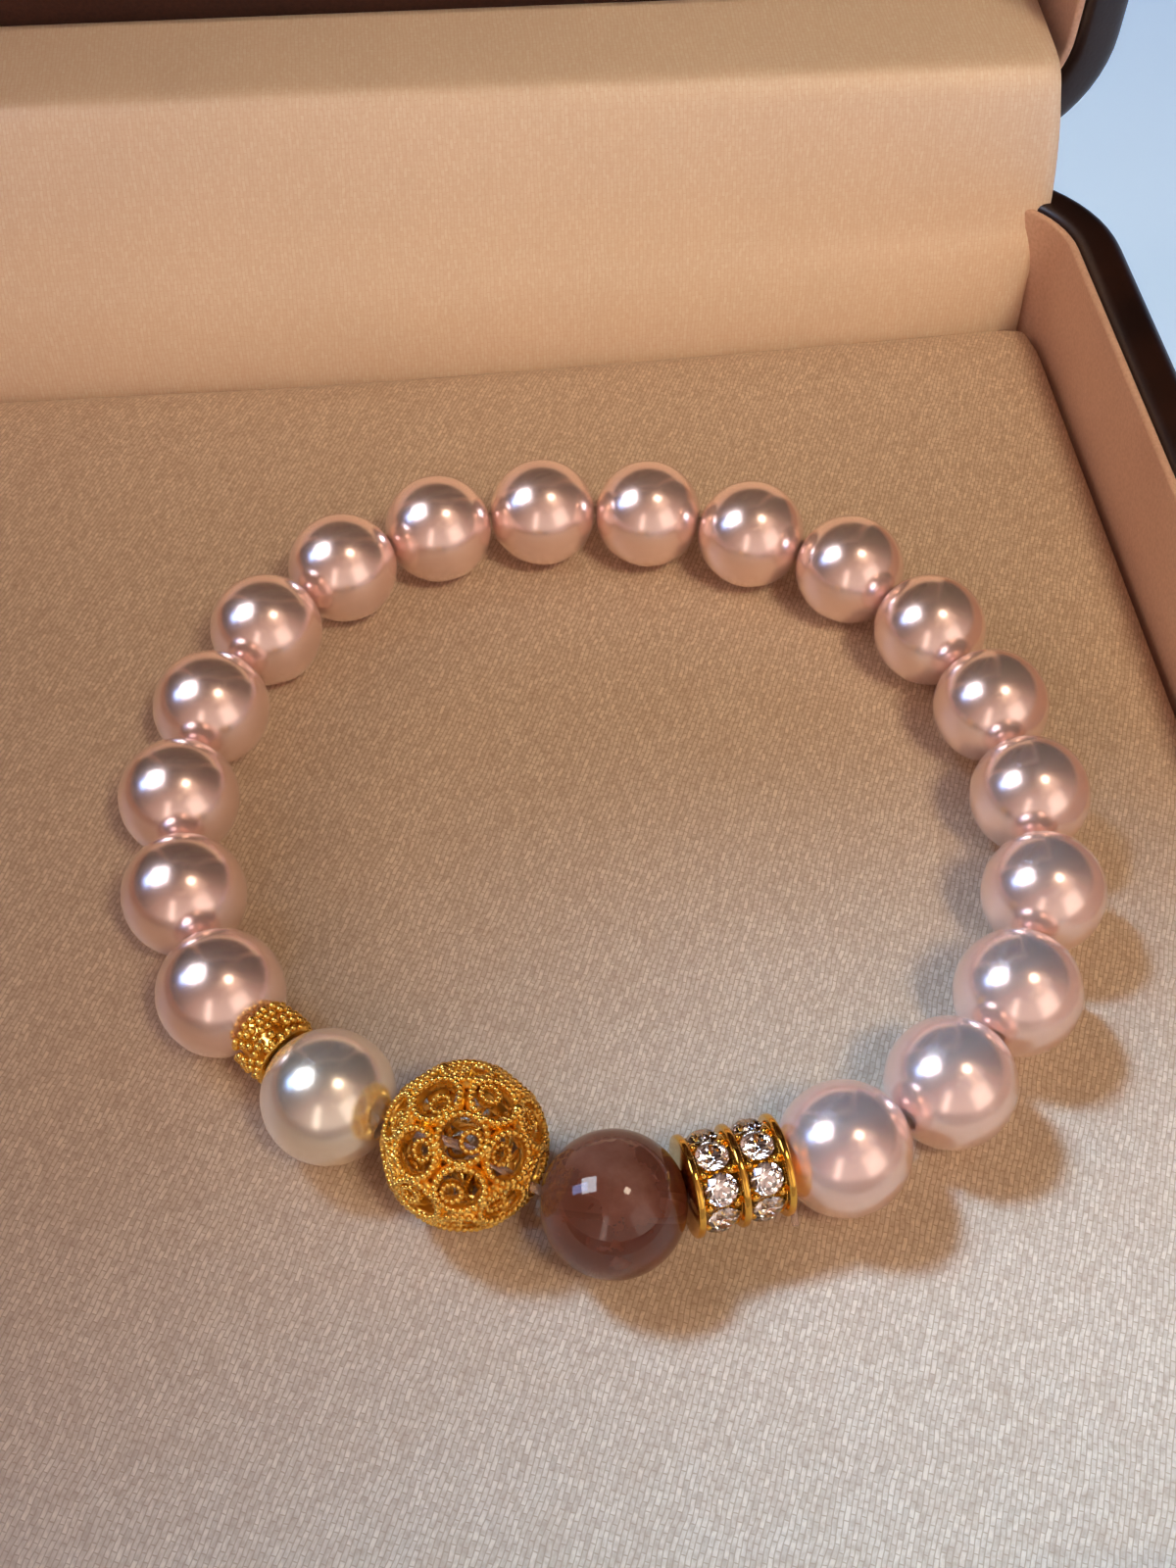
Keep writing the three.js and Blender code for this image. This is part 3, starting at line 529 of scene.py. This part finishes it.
def makeStones():
    number = 0
    for row in range(drum["rows"]):
        for place in range(drum["perRow"]):
            number += 1
            bm = bmesh.new()
            brilliant(bm)
            angle = stoneAngle(place)
            outward = Vector((math.cos(angle), 0, math.sin(angle)))
            turn = Vector((0, 1, 0)).rotation_difference(outward).to_matrix().to_4x4()
            spot = (outward * girdleRadius + Vector((0, rowHeight(row), 0))) * mm
            bmesh.ops.transform(
                bm, matrix=threadFrame("stone_drum") @ Matrix.Translation(spot) @ turn, verts=bm.verts,
            )
            finishPiece(
                bm, f"zircon{number:02d}", cutZircon, nodes=[f"zircon_{number:02d}"], flat=True,
            )


makeDrum()
makeStones()
print("drum set with stones")

# Spacer: five rows of granules round an open ring
spacer = {
    "length": 2.7, "bore": 1.5, "core": 1.64, "granule": 0.55, "rows": 5, "perRow": 24, "reach": 2.5,
    "band": (2.1, 0.16), "gaps": 0.1, "stray": 0.07,  # gaps: the share of granules left out
    "chamfer": 0.1, "bandRound": 0.08, "sides": 64, "droop": 0.07, "turnStray": 0.2, "sizes": (0.85, 1.05),
}


def makeSpacer():
    bm = bmesh.new()
    half = spacer["length"] / 2
    bore, core, cut, turn = spacer["bore"], spacer["core"], spacer["chamfer"], spacer["bandRound"]
    rim, width = spacer["band"]  # the plain band at the end beside the white pearl
    profile = [
        (bore, -half + cut), (bore + cut, -half), (rim - turn, -half), (rim, -half + turn),
        (rim, -half + width - turn), (rim - turn, -half + width), (core, -half + width), (core, half),
        (bore + cut, half), (bore, half - cut),
    ]
    spinClosed(bm, [(r * mm, y * mm) for r, y in profile], spacer["sides"])
    radius = spacer["reach"] - spacer["granule"] / 2
    for row in range(spacer["rows"]):
        along = (row / (spacer["rows"] - 1) * 2 - 1) * (half - spacer["granule"] / 2)
        swell = 1 - spacer["droop"] * (abs(along) / half) ** 2  # the end rows sit a little lower
        for i in range(spacer["perRow"]):
            if chance.random() < spacer["gaps"]:
                continue
            step = i + (row % 2) / 2 + chance.uniform(-spacer["turnStray"], spacer["turnStray"])
            angle = 2 * math.pi * step / spacer["perRow"]
            reach = radius * swell - chance.uniform(0, 2) * spacer["stray"]
            place = max(spacer["granule"] / 2 - half, along + chance.uniform(-1, 1) * spacer["stray"])
            spot = Vector((reach * math.cos(angle), place, reach * math.sin(angle))) * mm
            size = spacer["granule"] / 2 * chance.uniform(*spacer["sizes"]) * mm
            bmesh.ops.create_icosphere(bm, subdivisions=2, radius=size, matrix=Matrix.Translation(spot))
    bmesh.ops.transform(bm, matrix=threadFrame("granule_spacer"), verts=bm.verts)
    finishPiece(bm, "granuleSpacer", granulatedGold, nodes=["granule_spacer"])


makeSpacer()
print("spacer made")


# Cord and its cut end, smoothed from the frame's own tubes
def smoothTube(node, name):
    bm = bmesh.new()
    bm.from_mesh(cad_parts[node].data)
    bmesh.ops.remove_doubles(bm, verts=bm.verts, dist=1e-6)
    piece = finishPiece(bm, name, stretchCord, nodes=[node], sharp=60)
    smooth = piece.modifiers.new("smooth", "SUBSURF")
    smooth.levels = smooth.render_levels = 1


smoothTube("elastic_cord", "elasticCord")
smoothTube("cord_tail", "cordTail")
print("cord run")

# Materials of the box
weave = {"float": 0.85, "rib": 0.3, "turn": 68, "gap": 0.06}  # mm and degrees


def satinMaterial(name, source, light, dark, turn):
    # Duchess satin: long floats of filament yarn lie side by side, so it shines softly along the ribs.
    # The real ribs are about 0.2 mm apart. They are drawn half as coarse again so that they show.
    material, tree, shader = startMaterial(name, {
        "Roughness": 0.46, "Specular IOR Level": 0.6, "Sheen Weight": 0.25, "Sheen Roughness": 0.4,
        "Sheen Tint": linear("#fff0e2"),
    })
    place = addNode(tree, "TexCoord").outputs[source]
    flat = addNode(tree, "Mapping", {}, {
        "Vector": place, "Scale": (1000, 1000, 1000), "Rotation": (0, 0, -math.radians(turn)),
    }).outputs[0]
    waver = addNode(tree, "TexNoise", {}, {"Vector": flat, "Scale": 0.35, "Detail": 2}).outputs["Color"]
    bent = addNode(tree, "VectorMath", {"operation": "MULTIPLY_ADD"}, {
        0: waver, 1: (0.5, 0.5, 0), 2: flat,
    }).outputs[0]
    floats = addNode(tree, "TexBrick", {"offset": 0.5, "offset_frequency": 2}, {
        "Vector": bent, "Scale": 1, "Brick Width": weave["float"], "Row Height": weave["rib"],
        "Mortar Size": weave["gap"], "Mortar Smooth": 1.0, "Color1": (1, 1, 1, 1),
        "Color2": (0.62, 0.62, 0.62, 1), "Mortar": (0.2, 0.2, 0.2, 1),
    })
    patch = addNode(tree, "TexNoise", {}, {"Vector": flat, "Scale": 0.05, "Detail": 3}).outputs["Fac"]
    grain = addNode(tree, "TexNoise", {}, {"Vector": bent, "Scale": 2.4, "Detail": 3}).outputs["Fac"]
    amount = addNode(tree, "Math", {"operation": "MULTIPLY"}, {0: floats.outputs["Color"], 1: grain})
    shade = addNode(tree, "MapRange", {}, {
        "Value": amount.outputs[0], "From Min": 0.08, "From Max": 0.6, "To Min": 0, "To Max": 1,
    })
    yarn = addNode(tree, "Mix", {"data_type": "RGBA"}, {
        0: shade.outputs[0], 6: linear(dark), 7: linear(light),
    })
    tone = addNode(tree, "MapRange", {}, {"Value": patch, "To Min": 0.94, "To Max": 1.05}).outputs[0]
    colour = addNode(tree, "VectorMath", {"operation": "SCALE"}, {0: yarn.outputs[2], "Scale": tone})
    tree.links.new(colour.outputs[0], shader.inputs["Base Color"])
    bump = addNode(tree, "Bump", {}, {
        "Strength": 0.3, "Distance": 0.05 * mm, "Height": amount.outputs[0],
    })
    tree.links.new(bump.outputs["Normal"], shader.inputs["Normal"])
    return material


def suedeMaterial(name, light, dark):
    # Flocked suede paper: a nap of short fibres, matt, paler where it is brushed the other way.
    material, tree, shader = startMaterial(name, {
        "Roughness": 0.95, "Specular IOR Level": 0.2, "Sheen Weight": 0.6, "Sheen Roughness": 0.5,
        "Sheen Tint": linear("#ffe6d8"),
    })
    place = addNode(tree, "TexCoord").outputs["Object"]
    nap = addNode(tree, "TexNoise", {}, {"Vector": place, "Scale": 3500, "Detail": 3}).outputs["Fac"]
    brushed = addNode(tree, "TexNoise", {}, {"Vector": place, "Scale": 60, "Detail": 3}).outputs["Fac"]
    both = addNode(tree, "Math", {"operation": "ADD"}, {0: nap, 1: brushed}).outputs[0]
    colour = addNode(tree, "MapRange", {}, {"Value": both, "From Min": 0.6, "From Max": 1.4}).outputs[0]
    tint = addNode(tree, "Mix", {"data_type": "RGBA"}, {0: colour, 6: linear(dark), 7: linear(light)})
    tree.links.new(tint.outputs[2], shader.inputs["Base Color"])
    bump = addNode(tree, "Bump", {}, {"Strength": 0.35, "Distance": 0.05 * mm, "Height": nap})
    tree.links.new(bump.outputs["Normal"], shader.inputs["Normal"])
    return material


def leatheretteMaterial():
    # Embossed polyurethane leather glued over board: fine pebbles 0.5 mm across under a satin varnish.
    material, tree, shader = startMaterial("leatherette", {
        "Roughness": 0.42, "Specular IOR Level": 0.5, "Coat Weight": 0.15, "Coat Roughness": 0.3,
    })
    place = addNode(tree, "TexCoord").outputs["Object"]
    pebble = addNode(tree, "TexVoronoi", {"feature": "DISTANCE_TO_EDGE"}, {
        "Vector": place, "Scale": 1 / (0.5 * mm),
    }).outputs["Distance"]
    rubbed = addNode(tree, "TexNoise", {}, {"Vector": place, "Scale": 90, "Detail": 4}).outputs["Fac"]
    tint = addNode(tree, "ValToRGB", {}, {"Fac": rubbed}, [
        (0.35, "#1f0f09"), (0.55, "#2b160d"), (0.75, "#3a2015"),
    ])
    tree.links.new(tint.outputs[0], shader.inputs["Base Color"])
    bump = addNode(tree, "Bump", {}, {"Strength": 0.35, "Distance": 0.06 * mm, "Height": pebble})
    tree.links.new(bump.outputs["Normal"], shader.inputs["Normal"])
    return material


padSatin = satinMaterial("padSatin", "Object", "#dfc9b3", "#ab8c74", weave["turn"])
# The flap is the pad's satin in paler colours: painted light, for the brighter light that falls on the
# flap.
flapSatinPaintedLight = satinMaterial("flapSatinPaintedLight", "UV", "#f8e6d2", "#ecd0b6", 90)
liningSuede = suedeMaterial("liningSuede", "#e6c0aa", "#c79a82")
# The lid panel is the lining's nap in very dark brown, even all over.
darkPanelNap = suedeMaterial("darkPanelNap", "#4a2417", "#2a1009")
leatherette = leatheretteMaterial()
hingeBrass = goldMaterial("hingeBrass", "#b9975a", "#8f7038", 0.4, 300)

# Box
box = {
    "half": 61, "corner": 12, "trayHeight": 22, "lidLow": 22.5, "lidTop": 42.5, "wall": 3.7, "base": 2,
    "rimRound": 1.4, "lipRound": 0.7, "footRound": 1.2, "liningGap": 0.1, "lining": 0.7, "liningDrop": 0.4,
    "liningRound": 0.28,
}
hinge = {
    "y": 60.65, "z": 22.25, "open": 85, "length": 44, "leaf": 6, "sideGap": 0.3, "rimGap": 0.5,
    "cutIn": 1, "cutPast": 5,  # how far the cut for the leaves runs past the wall, inwards and outwards
}
hingePoint = Vector((0, hinge["y"], hinge["z"])) * mm
lidTurn = (
    Matrix.Translation(hingePoint)
    @ Matrix.Rotation(-math.radians(hinge["open"]), 4, "X")
    @ Matrix.Translation(-hingePoint)
)


def openShell(bm, mouth, bottom):  # a hollow box that opens at the height of its mouth
    low, high = sorted((mouth, bottom))
    inside = 1 if bottom < mouth else -1  # which way the cavity faces
    half = box["half"]
    roundedBlock(bm, (-half, -half, low), (half, half, high), box["corner"])
    bevelEdges(bm, atHeight(bm, bottom * mm), box["footRound"] * mm, 4)
    bevelEdges(bm, atHeight(bm, mouth * mm), box["rimRound"] * mm, 6)
    face = faceAt(bm, mouth * mm)
    rest = (box["wall"] - box["rimRound"]) * mm
    bmesh.ops.inset_region(bm, faces=[face], thickness=rest, use_even_offset=True)
    lip = list(face.edges)
    floor = bmesh.ops.extrude_discrete_faces(bm, faces=[face])["faces"][0]
    depth = inside * (high - low - box["base"]) * mm
    bmesh.ops.translate(bm, vec=(0, 0, -depth), verts=floor.verts)
    bevelEdges(bm, lip, box["lipRound"] * mm, 4)
    bmesh.ops.recalc_face_normals(bm, faces=bm.faces)


def carve(piece, low, high):  # cuts a block out of a piece
    bm = bmesh.new()
    roundedBlock(bm, low, high, 0.2, 2)
    mesh = bpy.data.meshes.new("block")
    bm.to_mesh(mesh)
    bm.free()
    block = bpy.data.objects.new("block", mesh)
    bpy.context.scene.collection.objects.link(block)
    cut = piece.modifiers.new("cut", "BOOLEAN")
    cut.operation, cut.solver, cut.object = "DIFFERENCE", "EXACT", block
    bpy.context.view_layer.update()
    whole = piece.evaluated_get(bpy.context.evaluated_depsgraph_get())
    piece.data = bpy.data.meshes.new_from_object(whole)
    piece.modifiers.clear()
    bpy.data.objects.remove(block)


def liningBand(bm, low, high, brim):
    inset = box["wall"] + box["liningGap"]
    half = box["half"] - inset
    roundedBlock(bm, (-half, -half, low), (half, half, high), box["corner"] - inset)
    loops = []
    for z in (low, high):
        face = faceAt(bm, z * mm)
        bmesh.ops.inset_region(bm, faces=[face], thickness=box["lining"] * mm, use_even_offset=True)
        loops += list(face.edges)
        bmesh.ops.delete(bm, geom=[face], context="FACES_ONLY")
    bmesh.ops.bridge_loops(bm, edges=loops)
    bevelEdges(bm, atHeight(bm, brim * mm), box["liningRound"] * mm, 3)
    bmesh.ops.recalc_face_normals(bm, faces=bm.faces)


def makeBox():
    reach = hinge["leaf"] + hinge["sideGap"] + hinge["rimGap"] / 2
    side = hinge["length"] / 2 + hinge["sideGap"]
    low = (-side, box["half"] - box["wall"] - hinge["cutIn"], hinge["z"] - reach)
    high = (side, box["half"] + hinge["cutPast"], hinge["z"] + reach)
    bm = bmesh.new()
    openShell(bm, box["trayHeight"], 0)
    tray = finishPiece(bm, "trayShell", leatherette, nodes=["tray_shell"])
    carve(tray, low, high)
    bm = bmesh.new()
    openShell(bm, box["lidLow"], box["lidTop"])
    lid = finishPiece(bm, "lidShell", leatherette, body=None, nodes=["lid_shell"])
    carve(lid, low, high)
    lid.data.transform(lidTurn)
    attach(lid, "lid")
    bm = bmesh.new()
    brim = box["trayHeight"] - box["liningDrop"]
    liningBand(bm, box["base"] + box["liningGap"], brim, brim)
    finishPiece(bm, "trayLining", liningSuede, nodes=["tray_lining"])
    bm = bmesh.new()
    brim = box["lidLow"] + box["liningDrop"]
    liningBand(bm, brim, box["lidTop"] - box["base"] - box["liningGap"], brim)
    bmesh.ops.transform(bm, matrix=lidTurn, verts=bm.verts)
    finishPiece(bm, "lidLining", liningSuede, body="lid", nodes=["lid_lining"])


makeBox()
print("box shells and linings made")

# Lid panel: a board that fills the lid, covered in very dark brown nap, with a soft turned edge
panel = {
    "inset": 4.85, "face": 32.0, "back": 40.4, "edge": 0.9, "crown": 0.5,
    "steps": ((2, 0.2), (4, 0.18), (8, 0.12)),  # how far in, and the share of the crown that it rises
}


def makePanel():
    bm = bmesh.new()
    half = box["half"] - panel["inset"]
    corner = box["corner"] - panel["inset"]
    roundedBlock(bm, (-half, -half, panel["face"]), (half, half, panel["back"]), corner)
    bevelEdges(bm, atHeight(bm, panel["face"] * mm), panel["edge"] * mm, 5)
    face = faceAt(bm, panel["face"] * mm)
    for inset, rise in panel["steps"]:
        bmesh.ops.inset_region(
            bm, faces=[face], thickness=inset * mm, depth=-rise * panel["crown"] * mm, use_even_offset=True,
        )
    bmesh.ops.recalc_face_normals(bm, faces=bm.faces)
    bmesh.ops.transform(bm, matrix=lidTurn, verts=bm.verts)
    piece = finishPiece(bm, "lidPanel", darkPanelNap, body="lid", nodes=["lid_panel"])


makePanel()
print("lid panel made")

# Pad: satin pulled over foam, flat on top with soft rolled edges
pad = {
    "voxel": 1.1, "rollReach": 2.2, "roll": 0.8, "waves": 0.14, "waveLength": 26, "smooth": 10,
    "skin": 4, "skinFade": 3,  # the depth that the roll and the waves shape, and over which they fade in
    "skew": 3.4, "skewFrom": -12, "skewTo": 57,  # mm: how far its back edge runs out, and over what width
    "skewReach": 15, "skewCurve": 1.4,
}


def backSkew(x):  # the cloth's back crease runs out towards the right
    share = (x / mm - pad["skewFrom"]) / (pad["skewTo"] - pad["skewFrom"])
    return pad["skew"] * max(0, share) ** pad["skewCurve"] * mm


def makePad():
    bm = bmesh.new()
    bm.from_mesh(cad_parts["satin_pad"].data)
    bmesh.ops.remove_doubles(bm, verts=bm.verts, dist=1e-6)
    piece = finishPiece(bm, "satinPad", padSatin, nodes=["satin_pad"])
    remesh = piece.modifiers.new("remesh", "REMESH")
    remesh.mode, remesh.voxel_size, remesh.use_smooth_shade = "VOXEL", pad["voxel"] * mm, True
    soft = piece.modifiers.new("soft", "SMOOTH")
    soft.factor, soft.iterations = 0.5, pad["smooth"]
    bpy.context.view_layer.update()
    whole = piece.evaluated_get(bpy.context.evaluated_depsgraph_get())
    piece.data = bpy.data.meshes.new_from_object(whole)
    piece.modifiers.clear()
    low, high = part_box("satin_pad")
    for vertex in piece.data.vertices:
        co = vertex.co
        if co.z < high.z - pad["skin"] * mm:
            continue
        edge = min(co.x - low.x, high.x - co.x, co.y - low.y, high.y - co.y) / mm
        roll = pad["roll"] * math.exp(-max(edge, 0) / pad["rollReach"])
        wave = noise.noise(co / (pad["waveLength"] * mm))
        fade = min(1, (co.z - high.z + pad["skin"] * mm) / (pad["skinFade"] * mm))
        co.z -= (roll + pad["waves"] * (0.5 + 0.5 * wave)) * mm * fade
    for vertex in piece.data.vertices:
        co = vertex.co
        co.y += backSkew(co.x) * min(1, max(0, 1 - (high.y - co.y) / (pad["skewReach"] * mm)))
    piece.data.update()


makePad()
print("pad covered")

# Flap: one strip of satin that climbs from the crease behind the pad, leans back above the rim and runs
# into the lid. The real lid folds it as it closes; here it is built only as it lies with the lid open.
flap = {
    "thickness": 0.35, "across": 96, "ripple": 0.16, "rippleLength": 17, "rippleRise": 30,
    "stillFoot": 8, "freeOver": 6, "stillTop": 5,  # mm along it: where the ripple starts, and its fades
    "path": [  # y, z, half width in mm from the hidden foot to the lid's panel
        (49.75, 3.0, 54.9), (49.8, 8.0, 54.9), (49.86, 12.5, 54.9), (49.95, 14.2, 54.9),
        (50.2, 16.0, 55.0), (50.55, 17.7, 55.3), (51.1, 19.4, 55.8), (52.1, 21.8, 56.1),
        (53.4, 25.2, 56.0), (54.8, 28.7, 55.7), (56.2, 31.7, 55.3), (57.0, 32.9, 55.2),
        (58.0, 33.35, 55.2), (60.3, 33.45, 55.3), (64.5, 33.6, 55.4), (68.6, 33.8, 55.4),
    ],
    "skewLow": 20, "skewHigh": 32,  # mm: the skew of the pad's back edge fades out between these heights
    "steps": 4,
}


def flapPath():  # the path's points joined by a smooth curve
    points = [Vector(p) for p in flap["path"]]
    smooth = []
    for i in range(len(points) - 1):
        a, b = points[i], points[i + 1]
        before = points[max(i - 1, 0)]
        after = points[min(i + 2, len(points) - 1)]
        for step in range(flap["steps"]):
            t = step / flap["steps"]
            smooth.append(0.5 * (
                2 * a + (b - before) * t + (2 * before - 5 * a + 4 * b - after) * t * t
                + (3 * a - before - 3 * b + after) * t ** 3
            ))
    return smooth + [points[-1]]


def makeFlap():
    path = flapPath()
    bm = bmesh.new()
    verts = [bm.verts.new((-1, p.x * mm, p.y * mm)) for p in path]
    edges = [bm.edges.new(pair) for pair in zip(verts, verts[1:])]
    bmesh.ops.spin(  # no angle, only the slide from one side to the other
        bm, geom=verts + edges, cent=(0, 0, 0), axis=(1, 0, 0), dvec=(2 / flap["across"], 0, 0),
        angle=0, steps=flap["across"],
    )
    lengths = [0]
    for a, b in zip(path, path[1:]):
        lengths.append(lengths[-1] + (b.xy - a.xy).length)
    layer = bm.loops.layers.uv.new("cloth")
    row = {v: min(range(len(path)), key=lambda i: (path[i].xy * mm - v.co.yz).length) for v in bm.verts}
    for face in bm.faces:
        for loop in face.loops:
            i = row[loop.vert]
            loop[layer].uv = (loop.vert.co.x * path[i].z * mm, lengths[i] * mm)
    for vertex in bm.verts:
        i = row[vertex]
        vertex.co.x *= path[i].z * mm
        start = max(0, (lengths[i] - flap["stillFoot"]) / flap["freeOver"])
        free = min(1, start, max(0, (lengths[-1] - lengths[i]) / flap["stillTop"]))
        across = vertex.co.x / (flap["rippleLength"] * mm)
        wave = noise.noise(Vector((across, lengths[i] / flap["rippleRise"], 3.1)))
        fade = min(1, max(0, (flap["skewHigh"] - path[i].y) / (flap["skewHigh"] - flap["skewLow"])))
        vertex.co.y += backSkew(vertex.co.x) * fade - wave * flap["ripple"] * free * mm
    bmesh.ops.recalc_face_normals(bm, faces=bm.faces)
    piece = finishPiece(bm, "satinFlap", flapSatinPaintedLight, body=None, nodes=["tray_flap", "lid_flap"])
    cloth = piece.modifiers.new("cloth", "SOLIDIFY")
    cloth.thickness, cloth.offset = flap["thickness"] * mm, 0
    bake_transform(piece)
    print("flap's flat length in mm", round(lengths[-1], 1))


makeFlap()
print("flap hung")

for name in ("hinge_leaf_tray", "hinge_leaf_lid", "hinge_pin"):
    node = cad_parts[name]
    node.data.materials.clear()
    node.data.materials.append(hingeBrass)
print("hinge finished")

# Floor, light and room
room = {
    "floor": "#d5e4f2", "floorShade": "#c3d6e8", "floorGlow": "#9cc4f0", "floorStrength": 0.7,
    # The air is bright towards the front of the room, dark behind the box
    "front": (0.25, -0.93, -0.1), "airStrength": 0.95,
    "air": [(0.25, "#221612"), (0.5, "#57403a"), (0.75, "#b29286"), (1.0, "#e2cabf")],
    "lights": {  # towards: from the loop's middle to the light. aim: what its beam centres on, mm
        "window": {
            "towards": (-0.6, 0.08, 0.78), "distance": 0.32, "size": (0.13, 0.13), "aim": (13, -2, 16),
            "spread": 180, "power": 0.46, "colour": "#f0f5ff", "seenIn": "mirrors",
        },
        "windowEdge": {
            "towards": (-0.77, 0.07, 0.6), "distance": 0.32, "size": (0.07, 0.14), "aim": (13, -2, 16),
            "spread": 180, "power": 0.17, "colour": "#8fb8ff", "seenIn": "mirrors",
        },
        "lampGlow": {
            "towards": (0.31, -0.17, 0.93), "distance": 0.5, "size": (0.08, 0.08), "aim": (13, -2, 16),
            "spread": 180, "power": 0.24, "colour": "#ffe6cc", "seenIn": "mirrors",
        },
        "paleWall": {
            "towards": (0.62, -0.68, 0.4), "distance": 0.55, "size": (0.32, 0.36), "aim": (13, -2, 16),
            "spread": 180, "power": 0.26, "colour": "#fff0e4", "seenIn": "mirrors",
        },
        "ceiling": {
            "towards": (0.5, -0.3, 0.8), "distance": 0.5, "size": (0.26, 0.2), "aim": (13, -2, 16),
            "spread": 180, "power": 0.06, "colour": "#ffe0c8", "seenIn": "mirrors",
        },
        "doorway": {
            "towards": (-0.3, -0.83, 0.4), "distance": 0.5, "size": (0.07, 0.34), "aim": (13, -2, 16),
            "spread": 180, "power": 0.1, "colour": "#fff0e6", "seenIn": "mirrors",
        },
        "daylight": {
            "towards": (-0.46, 0.12, 0.88), "distance": 0.22, "size": (0.105, 0.075), "aim": (36, -73, 12),
            "spread": 16, "power": 0.045, "colour": "#a4d4ff", "seenIn": "cloth",
        },
        "sky": {
            "towards": (-0.75, 0.1, 0.6), "distance": 0.5, "size": (0.2, 0.2), "aim": (57, 10, 16),
            "spread": 40, "power": 0.036, "colour": "#ffe0be", "seenIn": "cloth",
        },
        "lamp": {
            "towards": (0.3, -0.45, 0.84), "distance": 0.6, "size": (0.13, 0.13), "aim": (48, 22, 15),
            "spread": 25, "power": 0.044, "colour": "#ffeec6", "seenIn": "cloth",
        },
        "fill": {
            "towards": (0.12, -0.8, 0.58), "distance": 0.6, "size": (0.6, 0.4), "aim": (0, 30, 20),
            "spread": 90, "power": 0.05, "colour": "#ffa87c", "seenIn": "cloth",
        },
    },
}
loopMiddle = Vector((12.9, -2.2, 16)) * mm


def makeLight(name, facts):
    light = bpy.data.lights.new(name, "AREA")
    light.shape = "RECTANGLE"
    light.size, light.size_y = facts["size"]
    light.energy = facts["power"]
    light.color = linear(facts["colour"])[:3]
    light.spread = math.radians(facts["spread"])
    thing = bpy.data.objects.new(name, light)
    bpy.context.scene.collection.objects.link(thing)
    thing.location = loopMiddle + Vector(facts["towards"]).normalized() * facts["distance"]
    thing.rotation_mode = "QUATERNION"
    back = thing.location - Vector(facts["aim"]) * mm
    thing.rotation_quaternion = back.to_track_quat("Z", "Y")
    thing.visible_diffuse = facts["seenIn"] == "cloth"
    thing.visible_glossy = facts["seenIn"] == "mirrors"


def makeRoom():
    bm = bmesh.new()
    bmesh.ops.create_grid(bm, x_segments=8, y_segments=8, size=2)
    mesh = bpy.data.meshes.new("floor")
    bm.to_mesh(mesh)
    bm.free()
    # Smooth eggshell paint in open daylight, so it looks paler than the light on the box would make it.
    material, tree, shader = startMaterial("paintedFloor", {
        "Roughness": 0.5, "Emission Color": linear(room["floorGlow"]),
        "Emission Strength": room["floorStrength"],
    })
    place = addNode(tree, "TexCoord").outputs["Object"]
    soft = addNode(tree, "TexNoise", {}, {"Vector": place, "Scale": 6, "Detail": 2}).outputs["Fac"]
    tint = addNode(tree, "Mix", {"data_type": "RGBA"}, {
        0: soft, 6: linear(room["floor"]), 7: linear(room["floorShade"]),
    })
    tree.links.new(tint.outputs[2], shader.inputs["Base Color"])
    mesh.materials.append(material)
    floor = bpy.data.objects.new("floor", mesh)
    bpy.context.scene.collection.objects.link(floor)
    world = bpy.data.worlds.new("room")
    world.use_nodes = True
    tree = world.node_tree
    around = addNode(tree, "TexCoord").outputs["Generated"]
    front = Vector(room["front"]).normalized()
    facing = addNode(tree, "VectorMath", {"operation": "DOT_PRODUCT"}, {0: around, 1: front})
    share = addNode(tree, "MapRange", {}, {
        "Value": facing.outputs["Value"], "From Min": -1, "From Max": 1,
    }).outputs[0]
    glow = addNode(tree, "ValToRGB", {}, {"Fac": share}, room["air"]).outputs[0]
    tree.links.new(glow, tree.nodes["Background"].inputs["Color"])
    tree.nodes["Background"].inputs["Strength"].default_value = room["airStrength"]
    bpy.context.scene.world = world
    bpy.context.scene.view_settings.view_transform = "Standard"
    for name, facts in room["lights"].items():
        makeLight(name, facts)


makeRoom()
print("room lit")
